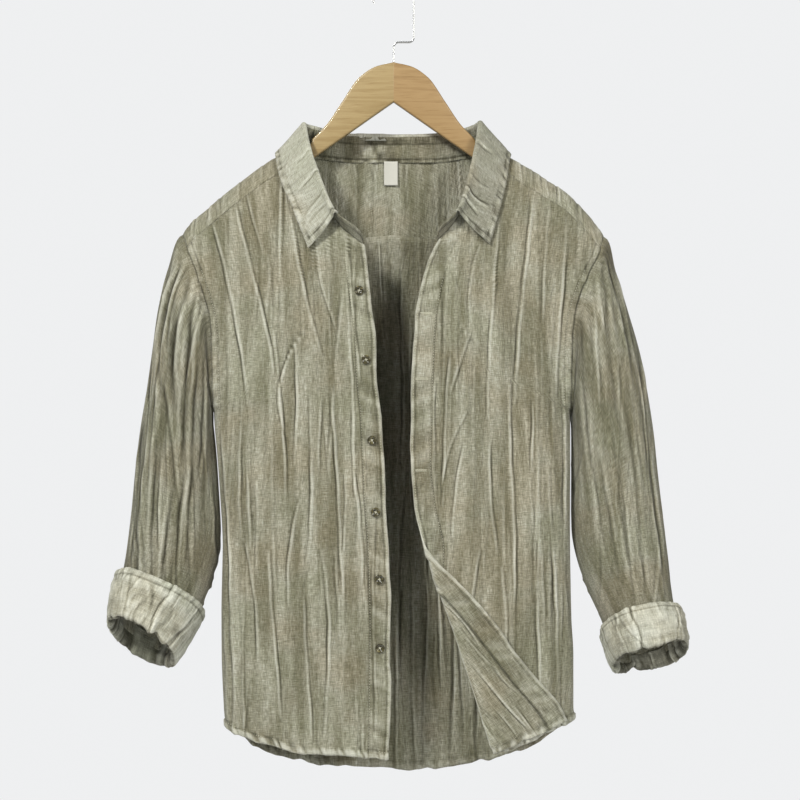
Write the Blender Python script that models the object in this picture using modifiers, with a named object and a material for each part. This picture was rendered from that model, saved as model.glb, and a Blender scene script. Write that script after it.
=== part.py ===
"""Crinkled double gauze shirt, hanging open on a flat wooden hanger.

The origin is the point inside the top of the hook where it rests on a rail. +Z is up, the
shirt's front faces -Y, and +X is the side with the buttonholes. Every table and size is in
millimetres, with heights given as the distance down from the origin. MM turns them to metres.
"""
import math

import bmesh
import bpy
import numpy as np
from mathutils import Vector

MM = 0.001
COLLECTION = "crinkled_shirt_on_hanger"

# Cloth
WALL = 1.5                 # one layer of the crinkled double gauze, with its crinkle
COLLAR_WALL = 1.9          # two layers
CUFF_WALL = 2.2            # rolled layers
SEAM_GAP = 0.45            # from a seam's line to the edge of each piece beside it
SIDE_GAP = 0.55            # the same at the side seams, where the cloth turns sharply
STEP_OUT = 2.1             # from a panel's middle to the middle of what lies on it

# Body
SQUARENESS = 3.5           # exponent of the body's rounded section
RIDGE_LENGTH = 110.0       # how fast the cloth spreads below the hanger
RIDGE_RADIUS = 8.4         # of the fold over the hanger
YOKE_FRONT = -35.0         # front yoke seam, measured round the ridge from its top
YOKE_BACK = 322.0          # back yoke seam below the origin, at the middle
YOKE_BACK_SLOPE = 0.10
NECK_STATIONS = (0, 28, 56, 82, 104, 120, 131, 140, 149, 160, 174, 198, 222, 246, 266, 286, 302, 316)
YOKE_END = 10              # the station where the yoke gives way to the front
LEAF_END = 15              # the station where the collar's leaf ends
YOKE_STEPS = (-35, -17, -7, 0, 7, 17)
YOKE_ARM = (0, 0.07, 0.17, 0.30, 0.47, 0.72)   # columns from the armhole to the neck
UNDERARM = 536.0
CHEST_LINE = 450.0         # where the row through the top of each front edge meets the armhole
EDGE_ROWS = 14
FACING = 26.0              # width of the folded facing at each front edge

# Collar
ROLL_RADIUS = 2.6
STAND_BELOW_ROLL = 5.2     # the stand ends below the roll, where the leaf is sewn to it
LEAF_CLEAR = 4.2           # from the shirt's middle to the leaf's at its outer edge

# Turned-back corner
FOLD_TOP = (43.0, 704.0)
FOLD_BOTTOM = (120.8, 944.0)
FOLD_RADIUS = 2.6
FOLD_STEPS = 4

# Hanger and hook
HANGER_REACH = 215.0
HANGER_THICK = 12.0
HANGER_CREST = 114.0
HANGER_APEX = 162.4
HANGER_SLOPE = 0.70
HANGER_DIP = 2.0           # a little more under the neck seam
HANGER_UNDER = 5.0         # below the cloth's middle at the shoulder
HANGER_ROUND = 2.4         # rounding of the board's edges
WIRE_RADIUS = 1.2
HOOK_RADIUS = 24.2
HOOK_CRANK = 89.8          # height of the crank under the hook

# Buttons and label
BUTTON_RADIUS = 5.6
BUTTON_THICK = 2.6
BUTTON_INSET = 12.5
BUTTON_CLEAR = 0.5
BUTTON_DOWN = (391.5, 474.0, 570.0, 655.5, 735.5, 817.5)
LABEL_WIDTH = 16.6
LABEL_DROP = 26.0
LABEL_SIDE = -3.4
LABEL_TOP = 234.5
LABEL_CLEAR = 2.4          # from the back's middle to the label's
LABEL_WALL = 1.0


def table(columns, rows):
    """Name the columns of a short table; the first column is the one it is read by."""
    return dict(zip(columns.split(), np.array(rows, float).T))


RIDGE = table("across left right", [
    (0, 150, 150), (60, 180, 180), (113, 214, 213), (140, 228, 229.5), (180, 256, 253.5),
    (207, 276.5, 270.5), (226, 293, 289.5), (246, 311, 313), (254, 323, 326)])
EDGE = table("down left right spare", [
    (323, 254, 254, 76), (345, 246, 247, 72), (371, 236, 234, 62), (400, 226.5, 222, 50),
    (428, 219.5, 215.5, 40), (460, 217.6, 213.2, 30), (498, 217, 212.6, 16), (520, 216.4, 212.4, 7),
    (536, 216, 212.4, 0), (594, 211.5, 212.4, 0), (648, 208.3, 212.4, 0), (703, 205.5, 212.6, 0),
    (784, 206, 214.2, 0), (832, 206, 216.8, 0), (915, 202.5, 216.8, 0)])
DEPTH = table("down front back", [
    (200, 44, 38), (326, 44, 38), (450, 47, 38), (600, 46, 36), (800, 44, 35), (970, 42, 34)])
NECK = table("along left left_q right right_q", [
    (0, 0, 96, 0, 96), (56, 55, 68, 55, 68), (88, 84, 46, 84, 46), (120, 110, 20, 110, 20),
    (140, 113.5, 0, 113, 0), (170, 112, -30, 112, -30), (198, 104, -58, 104, -58),
    (246, 85, -104, 88, -100), (286, 62, -149, 72, -139), (318, 36, -185, 51.8, -172)])
ROLL = table("along left right forward left_down right_down", [
    (0, 0, 0, -30, 198, 198), (56, 54, 54, -28, 197, 197), (88, 80, 80, -21, 193, 193),
    (120, 101, 98, -9, 189, 188), (140, 105, 101, 0, 188, 187), (170, 102, 99, 15, 207, 205),
    (198, 95, 94, 28, 231, 230), (246, 81.5, 84, 45, 268, 272), (286, 67.8, 75.2, 53, 298, 296),
    (318, 34, 52, 51, 319, 314)])
LEAF_EDGE = table("along left left_q right right_q", [
    (0, 0, 108, 0, 108), (56, 64, 76, 64, 76), (88, 100, 48, 100, 48), (120, 130, 20, 129, 20),
    (140, 141, 0, 139, 0), (170, 138, -30, 137, -26), (198, 133, -52, 134, -50),
    (246, 121, -88, 126.5, -88), (286, 101.7, -149, 114.8, -137)])
LEFT_EDGE = table("down across", [
    (332, 36), (347, 33.9), (395, 28), (451, 21.2), (499, 19), (538, 14.8), (637, 10.1),
    (703, 5.4), (784, 3.5), (903, 4.5), (950, 5.4)])
RIGHT_EDGE = table("down across", [
    (332, 51.8), (358, 40), (391, 31.5), (428, 25.6), (483, 22.5), (549, 20.8), (593, 19.6),
    (648, 25), (700, 35), (724, 34), (753, 27), (821, 22), (888, 20), (940, 17), (966, 20)])
LEFT_HEM = table("across down", [
    (5.4, 950), (46, 947.5), (97, 945), (141, 936), (185, 924), (202.5, 915)])
RIGHT_HEM = table("across down", [
    (20, 966), (70, 956), (118, 945), (153, 935), (182, 920), (216.8, 907)])
BACK_HEM = table("across down", [
    (-202.5, 915), (-184, 929), (-170, 944), (-136, 956), (-97, 965.5), (-16, 971.5),
    (32, 973), (86, 965.5), (142, 954.5), (174, 939), (202, 919), (216.8, 907)])
FOLDS = table("across down lean length width depth", [
    (-200, 330, 0.02, 230, 17, -4.5), (-150, 300, 0.10, 330, 18, -4.5),
    (-118, 540, -0.04, 350, 20, 4.0), (-92, 330, 0.16, 280, 17, -4.5),
    (-62, 620, 0.02, 310, 17, -4.0), (-172, 600, 0.03, 290, 18, 4.0),
    (164, 290, -0.06, 400, 17, -5.0), (200, 300, -0.03, 300, 17, -4.5),
    (96, 330, -0.12, 280, 17, 4.5), (66, 470, -0.02, 210, 15, -4.5),
    (118, 540, 0.06, 260, 18, -4.0), (150, 620, 0.0, 280, 18, 4.0)])
BACK_FOLDS = table("across down lean length width depth", [
    (-150, 380, 0.03, 420, 20, 3.0), (-84, 460, -0.02, 380, 18, -3.0), (-30, 380, 0.03, 440, 20, 2.8),
    (36, 520, -0.03, 360, 20, -2.8), (92, 380, 0.02, 420, 18, 3.0), (156, 430, -0.04, 380, 20, -3.0)])
SLEEVE = {
    "left": table("out down under gap front back bow tilt", [
        (272, 364, 548, 2.9, 33, 31, 12, 0), (284, 412, 562, 2.9, 30, 32, 8, 0),
        (291, 460, 580, 2.9, 26, 33, 5, 0), (298, 508, 602, 2.9, 23, 34, 3, 0),
        (306, 556, 628, 2.9, 21, 34, 1, 0), (312, 604, 656, 2.9, 20, 34, 0, 0.05),
        (316.5, 652, 686, 4, 20, 34, 0, 0.15), (321.5, 696, 716, 9, 21, 33, 0, 0.35)]),
    "right": table("out down under gap front back bow tilt", [
        (268, 368, 550, 2.9, 33, 31, 12, 0), (283, 416, 566, 2.9, 30, 32, 8, 0),
        (297, 464, 586, 2.9, 26, 33, 5, 0), (306.5, 512, 610, 2.9, 23, 34, 3, 0),
        (314, 560, 636, 2.9, 21, 34, 1, 0), (319.5, 612, 662, 3, 20, 34, 0, 0.05),
        (325.5, 664, 690, 4.5, 20, 34, 0, 0.1), (331, 712, 722, 12, 21, 33, 0, 0.35)])}
CUFF = {
    "left": table("height out down under under_down deep tilt", [
        (0, 346.5, 793, 263, 834, 38, 0.68), (60, 335, 733, 228, 778, 30, 0.68)]),
    "right": table("height out down under under_down deep tilt", [
        (0, 357, 822, 264, 843, 38, 0.55), (50, 347, 777, 249.5, 800, 31, 0.72)])}
CUFF_PROFILE = table("step height inset", [
    (0, 15, 8.0), (1, 4, 8.0), (2, 0.2, 5.6), (3, 0.4, 1.6), (4, 5, 0), (5, 27, -1.5), (6, 99, 0)])
SLEEVE_FOLDS = table("turn first last width depth", [
    (28, 0.4, 8.0, 13, -3.4), (54, 1.0, 9.0, 13, 3.0), (84, 0.6, 7.5, 14, -3.4),
    (112, 1.4, 9.0, 14, 3.0), (146, 1.0, 6.0, 14, -3.0), (214, 0.6, 8.0, 15, -3.4),
    (250, 1.0, 9.0, 15, 3.0), (292, 0.6, 8.0, 15, -3.4), (330, 1.0, 7.0, 13, 3.0)])

COLOURS = {
    "cloth": (0.330, 0.315, 0.205, 1), "cuff": (0.600, 0.590, 0.470, 1),
    "wood_pale": (0.560, 0.395, 0.205, 1), "wood_tan": (0.540, 0.330, 0.150, 1),
    "steel": (0.620, 0.620, 0.610, 1), "button": (0.075, 0.065, 0.030, 1),
    "label": (0.760, 0.750, 0.700, 1)}


# ---------------------------------------------------------------- reading the tables

def read(rows, column, at):
    """A column's value at a place along the table's first column, on a smooth curve."""
    keys = next(iter(rows.values()))
    values = rows[column]
    gaps = np.diff(keys)
    slopes = np.diff(values) / gaps
    product = slopes[:-1] * slopes[1:]
    total = slopes[:-1] + slopes[1:]
    inner = np.where(product > 0, 2 * product / np.where(total == 0, 1, total), 0)
    tangents = np.concatenate([slopes[:1], inner, slopes[-1:]])
    at = np.clip(np.asarray(at, float), keys[0], keys[-1])
    cell = np.clip(np.searchsorted(keys, at, side="right") - 1, 0, len(gaps) - 1)
    t = (at - keys[cell]) / gaps[cell]
    rise = t * t * (3 - 2 * t)
    start = t * (1 - t) ** 2 * gaps[cell]
    end = t * t * (t - 1) * gaps[cell]
    return (values[cell] * (1 - rise) + values[cell + 1] * rise
            + tangents[cell] * start + tangents[cell + 1] * end)


def by_side(rows, x, at, names=("left", "right")):
    """Read the left column where x is negative and the right one where it is positive."""
    return np.where(np.asarray(x) < 0, read(rows, names[0], at), read(rows, names[1], at))


def evenly(points, places):
    """Points at the given fractions of a polyline's length."""
    steps = np.linalg.norm(np.diff(points, axis=0), axis=1)
    length = np.concatenate([[0], np.cumsum(steps)])
    wanted = np.asarray(places) * length[-1]
    return np.stack([np.interp(wanted, length, points[:, k]) for k in range(points.shape[1])], 1)


# ---------------------------------------------------------------- the body's form

def ridge(x):
    """Height of the fold over the hanger."""
    return by_side(RIDGE, x, np.abs(x))


def side_edge(x, down):
    """Distance from the middle to the armhole seam, and below it to the side seam."""
    return by_side(EDGE, x, down)


def drop_of(q):
    """Height lost at the distance q round the ridge; q is negative in front."""
    return q * q / (2 * RIDGE_RADIUS + np.abs(q))


def q_of(drop):
    """The distance round the ridge that gives a drop."""
    return (drop + np.sqrt(drop * drop + 8 * RIDGE_RADIUS * drop)) / 2


def fold_relief(folds, x, down):
    """How far the soft folds push the cloth out, in or toward the viewer's side."""
    relief = np.zeros(np.broadcast(x, down).shape)
    for across, top, lean, length, width, depth in zip(*folds.values()):
        t = (down - top) / length
        centre = across + lean * (down - top)
        fade = np.where((t > 0) & (t < 1), np.sin(np.pi * np.clip(t, 0, 1)) ** 0.7, 0)
        relief = relief + depth * fade * np.exp(-((x - centre) / width) ** 2)
    return relief


def wall_y(x, down, back):
    """Where the front or the back of the body lies behind or before the hanger's plane."""
    drop = np.maximum(down - ridge(x), 0)
    spread = np.sqrt(1 - np.exp(-drop / RIDGE_LENGTH))
    reach = side_edge(x, down) + read(EDGE, "spare", down)
    share = np.minimum(np.abs(x) / reach, 1)
    rounding = (1 - share ** SQUARENESS) ** (1 / SQUARENESS)
    depth = read(DEPTH, "back" if back else "front", down)
    relief = fold_relief(BACK_FOLDS if back else FOLDS, x, down) * rounding ** 2
    y = (depth + relief) * spread * rounding
    return y if back else -y


def over_ridge(x, q):
    """A point of the shoulder or the body, q round the ridge from its top."""
    down = ridge(x) + drop_of(q)
    y = np.where(q > 0, wall_y(x, down, True), wall_y(x, down, False))
    return np.stack([x, y, down], -1)


def neck_point(along):
    """The neck seam; along is negative on the left and 0 at the middle of the back."""
    x = by_side(NECK, along, np.abs(along)) * np.where(along < 0, -1, 1)
    q = by_side(NECK, along, np.abs(along), ("left_q", "right_q"))
    return x, q


# ---------------------------------------------------------------- making meshes

def finish(obj, colour, rough, metal=0.0):
    """Give an object its own material and put it in the shirt's collection."""
    material = bpy.data.materials.new(obj.name)
    material.use_nodes = True
    shader = material.node_tree.nodes["Principled BSDF"]
    shader.inputs["Base Color"].default_value = COLOURS[colour]
    shader.inputs["Roughness"].default_value = rough
    shader.inputs["Metallic"].default_value = metal
    obj.data.materials.append(material)
    bpy.data.collections[COLLECTION].objects.link(obj)
    return obj


def grid_mesh(columns, rows):
    """A flat unit grid; its vertices carry their column and row in x and y."""
    bm = bmesh.new()
    bmesh.ops.create_grid(bm, x_segments=columns, y_segments=rows, size=0.5)
    for vert in bm.verts:
        vert.co.x = round((vert.co.x + 0.5) * columns)
        vert.co.y = round((vert.co.y + 0.5) * rows)
    return bm


def place(bm, points):
    """Move a grid's vertices to points[row][column], given as x, y and down."""
    for vert in bm.verts:
        x, y, down = points[int(vert.co.y)][int(vert.co.x)]
        vert.co = Vector((x, y, -down)) * MM


def cloth(name, bm, colour, wall=WALL):
    """Turn an open sheet into a named solid with a cloth wall."""
    mesh = bpy.data.meshes.new(name)
    bmesh.ops.recalc_face_normals(bm, faces=bm.faces)
    bm.to_mesh(mesh)
    bm.free()
    mesh.shade_smooth()
    obj = bpy.data.objects.new(name, mesh)
    skin = obj.modifiers.new("wall", "SOLIDIFY")
    skin.thickness = wall * MM
    skin.offset = 0
    skin.use_even_offset = True
    skin.thickness_clamp = 1.2
    return finish(obj, colour, 0.9)


# ---------------------------------------------------------------- panels

def corner(sign, seam):
    """Where a seam meets the armhole: seam gives its height from the signed distance across."""
    down = 340.0
    for _ in range(30):
        down = float(seam(sign * float(side_edge(sign, down))))
    return float(side_edge(sign, down)), down


def front_seam(x):
    """Height of the seam between the yoke and a front."""
    return ridge(x) + drop_of(YOKE_FRONT)


def back_seam(x):
    """Height of the seam between the yoke and the back."""
    return YOKE_BACK + YOKE_BACK_SLOPE * np.abs(x)


def front_rows(side):
    """The outer and the inner end of each row of a front, as across and down."""
    sign = -1 if side == "left" else 1
    hem = LEFT_HEM if side == "left" else RIGHT_HEM
    opening = LEFT_EDGE if side == "left" else RIGHT_EDGE
    neck_x, neck_q = neck_point(sign * np.array(NECK_STATIONS[YOKE_END:], float))
    neck = np.column_stack([np.abs(neck_x), ridge(neck_x) + drop_of(neck_q)])
    keys = opening["down"]
    lower = np.linspace(keys[0], keys[-1], EDGE_ROWS + 1)[1:]
    inner = np.concatenate([neck, np.column_stack([read(opening, "across", lower), lower])])
    _, top = corner(sign, front_seam)
    chest = np.linspace(top, CHEST_LINE, len(neck))
    waist = np.linspace(CHEST_LINE, hem["down"][-1], EDGE_ROWS + 1)[1:]
    downs = np.concatenate([chest, waist])
    return np.column_stack([side_edge(sign, downs), downs]), inner


def front_spots(side, columns):
    """Places of a front's grid in its unfolded outline: signed x, and down."""
    sign = -1 if side == "left" else 1
    hem = LEFT_HEM if side == "left" else RIGHT_HEM
    outer, inner = front_rows(side)
    rows = len(outer) - 1
    fine = 1 - np.cos(np.linspace(0, np.pi / 2, 240))
    spots = np.zeros((rows + 1, columns + 1, 2))
    for row in range(rows + 1):
        v = row / rows
        line = outer[row] + (inner[row] - outer[row]) * fine[:, None]
        top = outer[0] + (inner[0] - outer[0]) * fine[:, None]
        low = outer[-1] + (inner[-1] - outer[-1]) * fine[:, None]
        line[:, 1] += (1 - v) ** 4 * (front_seam(sign * top[:, 0]) + SIDE_GAP - top[:, 1])
        line[:, 1] += v ** 8 * (read(hem, "down", low[:, 0]) - low[:, 1])
        solid = np.column_stack([line[:, 0], wall_y(sign * line[:, 0], line[:, 1], False), line[:, 1]])
        length = np.linalg.norm(np.diff(solid, axis=0), axis=1).sum()
        facing = min(FACING / length, 0.3)
        places = np.concatenate([np.linspace(0, 1 - facing, columns - 1), [1 - facing / 2, 1]])
        spots[row] = evenly(solid, places)[:, [0, 2]]
    spots[..., 0] *= sign
    return spots


def fold_over(spot):
    """Carry a place past the fold line round the fold and back over the front."""
    start = Vector(FOLD_TOP)
    along = (Vector(FOLD_BOTTOM) - start).normalized()
    outward = Vector((-along.y, along.x))
    reach = (spot - start).dot(outward)
    lift = 0.0
    moved = spot
    if reach > 0:
        turn = min(reach / FOLD_RADIUS, math.pi)
        beyond = reach - turn * FOLD_RADIUS
        moved = spot + outward * (FOLD_RADIUS * math.sin(turn) - beyond - reach)
        lift = FOLD_RADIUS * (1 - math.cos(turn))
    return moved, lift


def cut_along_fold(bm):
    """Add the edges that the turned corner bends along, in the flat outline."""
    start = Vector((FOLD_TOP[0], FOLD_TOP[1], 0))
    along = (Vector((FOLD_BOTTOM[0], FOLD_BOTTOM[1], 0)) - start).normalized()
    outward = Vector((-along.y, along.x, 0))
    for step in range(FOLD_STEPS + 1):
        reach = step / FOLD_STEPS * math.pi * FOLD_RADIUS
        everything = bm.verts[:] + bm.edges[:] + bm.faces[:]
        bmesh.ops.bisect_plane(bm, geom=everything, dist=0.2, plane_co=start + outward * reach,
                               plane_no=outward)


def front_form(side, spot):
    """Where a place of the flat front lies once it hangs and its corner is turned."""
    lift = 0.0
    if side == "right":
        spot, lift = fold_over(spot)
    y = min(float(wall_y(spot.x, spot.y, False)), -SIDE_GAP) - lift
    return Vector((spot.x, y, -spot.y))


def wrong_side(side, spot):
    """The direction out of the cloth's inner side at a place of the flat front."""
    step = 0.4
    here = front_form(side, spot)
    across = front_form(side, spot + Vector((step, 0))) - here
    downward = front_form(side, spot + Vector((0, step))) - here
    return across.cross(downward).normalized()


def front_panel(side, columns, first=0, top=0, shift=0.0):
    """The sheet of a front from a column and a row on, hung, folded and shifted inward."""
    spots = front_spots(side, columns)[top:, first:]
    bm = grid_mesh(columns - first, len(spots) - 1)
    for vert in bm.verts:
        x, down = spots[int(vert.co.y)][int(vert.co.x)]
        vert.co = (x, down, 0)
    if side == "right":
        cut_along_fold(bm)
    for vert in bm.verts:
        spot = Vector(vert.co.xy)
        vert.co = (front_form(side, spot) + wrong_side(side, spot) * shift) * MM
    return bm


def fronts():
    """Both fronts, and the facing folded back inside each front edge."""
    columns = 12
    collar_rows = len(NECK_STATIONS) - 1 - YOKE_END
    for side, name in (("left", "button_side"), ("right", "buttonhole_side")):
        cloth("front_" + name, front_panel(side, columns), "cloth")
        strip = front_panel(side, columns, columns - 2, collar_rows, STEP_OUT)
        cloth("facing_" + name, strip, "cloth")


def back():
    """The back, from the yoke seam to the curved tail."""
    columns, rows = 18, 16
    fine = (1 - np.cos(np.linspace(0, np.pi, 300))) / 2
    points = np.zeros((rows + 1, columns + 1, 3))
    (left_top, left_high), (right_top, right_high) = corner(-1, back_seam), corner(1, back_seam)
    left_low, right_low = BACK_HEM["down"][0], BACK_HEM["down"][-1]
    top_x = (right_top + left_top) * fine - left_top
    low_x = BACK_HEM["across"][0] + (BACK_HEM["across"][-1] - BACK_HEM["across"][0]) * fine
    for row in range(rows + 1):
        v = (row / rows) ** 1.25
        left_down = left_high + (left_low - left_high) * v
        right_down = right_high + (right_low - right_high) * v
        left = -float(side_edge(-1, left_down))
        right = float(side_edge(1, right_down))
        x = left + (right - left) * fine
        down = left_down + (right_down - left_down) * fine
        chord = left_high + (right_high - left_high) * fine
        down = down + (1 - v) ** 2 * (back_seam(top_x) + SEAM_GAP - chord)
        chord = left_low + (right_low - left_low) * fine
        down = down + v ** 6 * (read(BACK_HEM, "down", low_x) - chord)
        y = np.maximum(wall_y(x, down, True), SIDE_GAP)
        points[row] = evenly(np.column_stack([x, y, down]), np.linspace(0, 1, columns + 1))
    bm = grid_mesh(columns, rows)
    place(bm, points)
    cloth("back", bm, "cloth")


def yoke():
    """The yoke over the shoulders: from the front seams, over the ridge, to the back seam."""
    stations = np.array(NECK_STATIONS[:YOKE_END + 1], float)
    neck_x, neck_q = neck_point(np.concatenate([-stations[:0:-1], stations]))
    left_tip, right_tip = corner(-1, front_seam)[0], corner(1, front_seam)[0]
    left_x = -left_tip + (neck_x[0] + left_tip) * np.array(YOKE_ARM)
    right_x = right_tip + (neck_x[-1] - right_tip) * np.array(YOKE_ARM[::-1])
    front_q = YOKE_FRONT + SIDE_GAP
    start_x = np.concatenate([left_x, neck_x, right_x])
    start_q = np.concatenate([left_x * 0 + front_q, np.maximum(neck_q, front_q), right_x * 0 + front_q])
    columns = len(start_x) - 1
    end_x = np.linspace(-corner(-1, back_seam)[0], corner(1, back_seam)[0], columns + 1)
    end_x = (start_x + 2 * end_x) / 3
    end_q = q_of(back_seam(end_x) - SEAM_GAP - ridge(end_x))
    behind = np.maximum(start_q, YOKE_STEPS[-1])
    clear = 0.22 * np.maximum(-start_q, 0) * np.exp((111 - np.abs(start_x)) / 30) * np.sign(start_x)
    points = []
    half_way = (YOKE_STEPS[-1] + end_q) / 2
    for step in (*YOKE_STEPS, half_way, end_q):
        q = start_q + (end_q - start_q) * (step - YOKE_FRONT) / (end_q - YOKE_FRONT)
        x = start_x + clear * np.clip((q - start_q) / np.maximum(-start_q, 1), 0, 1)
        x += (end_x - start_x - clear) * np.clip((q - behind) / (end_q - behind), 0, 1)
        points.append(over_ridge(x, q))
    points = np.array(points)
    for column, sign in ((0, -1), (-1, 1)):
        points[:, column, 0] = sign * (side_edge(sign, points[:, column, 2]) - SEAM_GAP / 2)
    bm = grid_mesh(columns, len(points) - 1)
    place(bm, points)
    cloth("yoke", bm, "cloth")


# ---------------------------------------------------------------- sleeves and cuffs

def armhole(side, turns):
    """The armhole seam as a loop: shoulder tip, down the front, underarm, up the back."""
    sign = -1 if side == "left" else 1
    top = float(ridge(sign * 253.9))
    down = top + (UNDERARM - top) * (1 - np.cos(np.linspace(0, np.pi, 200))) / 2
    across = side_edge(sign, down)
    halves = []
    for behind in (False, True):
        y = wall_y(sign * across, down, behind)
        halves.append(np.column_stack([across, y, down]))
    share = np.asarray(turns) / 180
    ahead = evenly(halves[0], np.clip(share, 0, 1))
    behind = evenly(halves[1], np.clip(2 - share, 0, 1))
    return np.where((share <= 1)[:, None], ahead, behind)


def cuff_ring(side, turns, height, inset):
    """A ring of the rolled cuff, a height above its mouth and inset from its outside."""
    rows = CUFF[side]
    height = min(height, rows["height"][1])
    out, down, under, under_down, deep, tilt = (
        np.interp(height, rows["height"], rows[name])
        for name in ("out", "down", "under", "under_down", "deep", "tilt"))
    return oval(turns, (out - inset, down), (under + inset, under_down), deep - inset, deep - inset,
                0.0, tilt)


def oval(turns, outer, under, front, back, bow, tilt):
    """A ring from its outer and under points, its reach to the front and back, and its tilt."""
    angle = np.radians(turns)
    c = np.sign(np.cos(angle)) * np.abs(np.cos(angle)) ** 0.85
    s = np.sign(np.sin(angle)) * np.abs(np.sin(angle)) ** 0.85
    middle = (np.array(outer) + under) / 2
    half = (np.array(outer) - under) / 2
    y = -(front + back) / 2 * s
    across = middle[0] + half[0] * c - bow * s * s
    down = middle[1] + half[1] * c + tilt * y
    return np.column_stack([across, y + (back - front) / 2, down])


def sleeve_rings(side, turns):
    """The sleeve's rings from the armhole to the inside of the cuff."""
    rows = SLEEVE[side]
    sign = -1 if side == "left" else 1
    seam = armhole(side, turns)
    toward_under = (1 - np.cos(np.radians(turns))) / 2
    seam[:, 0] += 1.5 + 0.7 * toward_under ** 2
    seam[:, 2] -= 0.4 * (1 - toward_under)
    rings = [seam]
    for out, down, under, gap, front, rear, bow, tilt in zip(*rows.values()):
        inner = float(side_edge(sign, under)) + gap
        rings.append(oval(turns, (out, down), (inner, under), front, rear, bow, tilt))
    top = CUFF[side]["height"][1]
    for height in (top + 1, (top + 15) / 2, 15 + 2 * SEAM_GAP):
        rings.append(cuff_ring(side, turns, height, 8.0))
    return np.array(rings)


def rumple(rings, turns):
    """Press the long soft folds into a sleeve's rings."""
    for turn, first, last, width, depth in zip(*SLEEVE_FOLDS.values()):
        for level, ring in enumerate(rings):
            t = (level - first) / (last - first)
            if 0 < t < 1:
                away = (np.asarray(turns) - turn + 180) % 360 - 180
                bump = depth * math.sin(math.pi * t) ** 0.6 * np.exp(-(away / width) ** 2)
                middle = ring.mean(axis=0)
                outward = ring - middle
                outward /= np.linalg.norm(outward, axis=1)[:, None]
                outward[:, 2] = 0
                ring += outward * bump[:, None]
    return rings


def tube(name, side, rings, colour, wall):
    """Join rings into an open tube with a cloth wall."""
    sign = -1 if side == "left" else 1
    rings = rings.copy()
    rings[..., 0] *= sign
    columns = rings.shape[1]
    closed = np.concatenate([rings, rings[:, :1]], axis=1)
    bm = grid_mesh(columns, len(rings) - 1)
    place(bm, closed)
    bmesh.ops.remove_doubles(bm, verts=bm.verts, dist=0.00002)
    return cloth(name, bm, colour, wall)


def sleeves():
    """Both sleeves, and the cuff rolled back over the end of each."""
    turns = np.linspace(0, 360, 24, endpoint=False)
    cuff_turns = np.linspace(0, 360, 20, endpoint=False)
    for side in ("left", "right"):
        rings = rumple(sleeve_rings(side, turns), turns)
        tube("sleeve_" + side, side, rings, "cloth", WALL)
        cuff = [cuff_ring(side, cuff_turns, height, inset)
                for height, inset in zip(CUFF_PROFILE["height"], CUFF_PROFILE["inset"])]
        tube("cuff_" + side, side, np.array(cuff), "cuff", CUFF_WALL)


# ---------------------------------------------------------------- collar

def collar_line(along):
    """Neck seam, roll line and leaf edge at each place along the collar."""
    side = np.where(along < 0, -1, 1)
    length = np.abs(along)
    seam = over_ridge(*neck_point(along))
    roll = np.stack([by_side(ROLL, along, length) * side, -read(ROLL, "forward", length),
                     by_side(ROLL, along, length, ("left_down", "right_down"))], -1)
    leaf_x = by_side(LEAF_EDGE, along, length) * side
    leaf_q = by_side(LEAF_EDGE, along, length, ("left_q", "right_q"))
    step = 0.5
    edge = over_ridge(leaf_x, leaf_q)
    outward = np.cross(over_ridge(leaf_x + step, leaf_q) - edge,
                       over_ridge(leaf_x, leaf_q + step) - edge)
    outward /= np.linalg.norm(outward, axis=1)[:, None]
    from_inside = np.column_stack([0 * leaf_x, edge[:, 1], 0 * leaf_x - 5])
    outward *= np.sign(np.sum(outward * from_inside, axis=1))[:, None]
    return seam, roll, edge + outward * LEAF_CLEAR


def unit(vectors):
    """Each row of an array of vectors, at unit length."""
    return vectors / np.linalg.norm(vectors, axis=1)[:, None]


def collar():
    """The collar's stand, and the leaf that rolls over it and falls on the shirt."""
    stations = np.array(NECK_STATIONS, float)
    stand_along = np.concatenate([-stations[:0:-1], stations])
    seam, roll, _ = collar_line(stand_along)
    up = unit(roll - seam)
    bm = grid_mesh(len(stand_along) - 1, 1)
    place(bm, [seam + up * (WALL / 2 + 2 * SEAM_GAP), roll - up * STAND_BELOW_ROLL])
    cloth("collar_stand", bm, "cloth", COLLAR_WALL)

    stations = stations[:LEAF_END + 1]
    leaf_along = np.concatenate([-stations[:0:-1], stations])
    seam, roll, edge = collar_line(leaf_along)
    up = unit(roll - seam)
    away = edge - roll
    away = unit(away - up * np.sum(away * up, axis=1)[:, None])
    rows = [roll - up * (STAND_BELOW_ROLL - 2 * SEAM_GAP)]
    for turn in (0.3, 0.7):
        angle = math.pi * turn
        rows.append(roll + up * ROLL_RADIUS * (math.sin(angle) - 1)
                    + away * ROLL_RADIUS * (1 - math.cos(angle)))
    start = roll - up * ROLL_RADIUS + away * 2 * ROLL_RADIUS
    handle = start - up * 9 + away * 3
    for t in (0.0, 0.5, 1.0):
        rows.append(start * (1 - t) ** 2 + handle * 2 * t * (1 - t) + edge * t * t)
    bm = grid_mesh(len(leaf_along) - 1, len(rows) - 1)
    place(bm, rows)
    cloth("collar_leaf", bm, "cloth", COLLAR_WALL)


# ---------------------------------------------------------------- label, buttons, hanger

def label():
    """The blank label inside the back of the neck, hanging from the collar seam."""
    columns, rows = 2, 3
    points = np.zeros((rows + 1, columns + 1, 3))
    for row in range(rows + 1):
        for column in range(columns + 1):
            x = LABEL_SIDE + LABEL_WIDTH * (column / columns - 0.5)
            down = LABEL_TOP + LABEL_DROP * row / rows
            points[row, column] = x, float(wall_y(x, down, True)) - LABEL_CLEAR, down
    bm = grid_mesh(columns, rows)
    place(bm, points)
    cloth("neck_label", bm, "label", LABEL_WALL)


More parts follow.
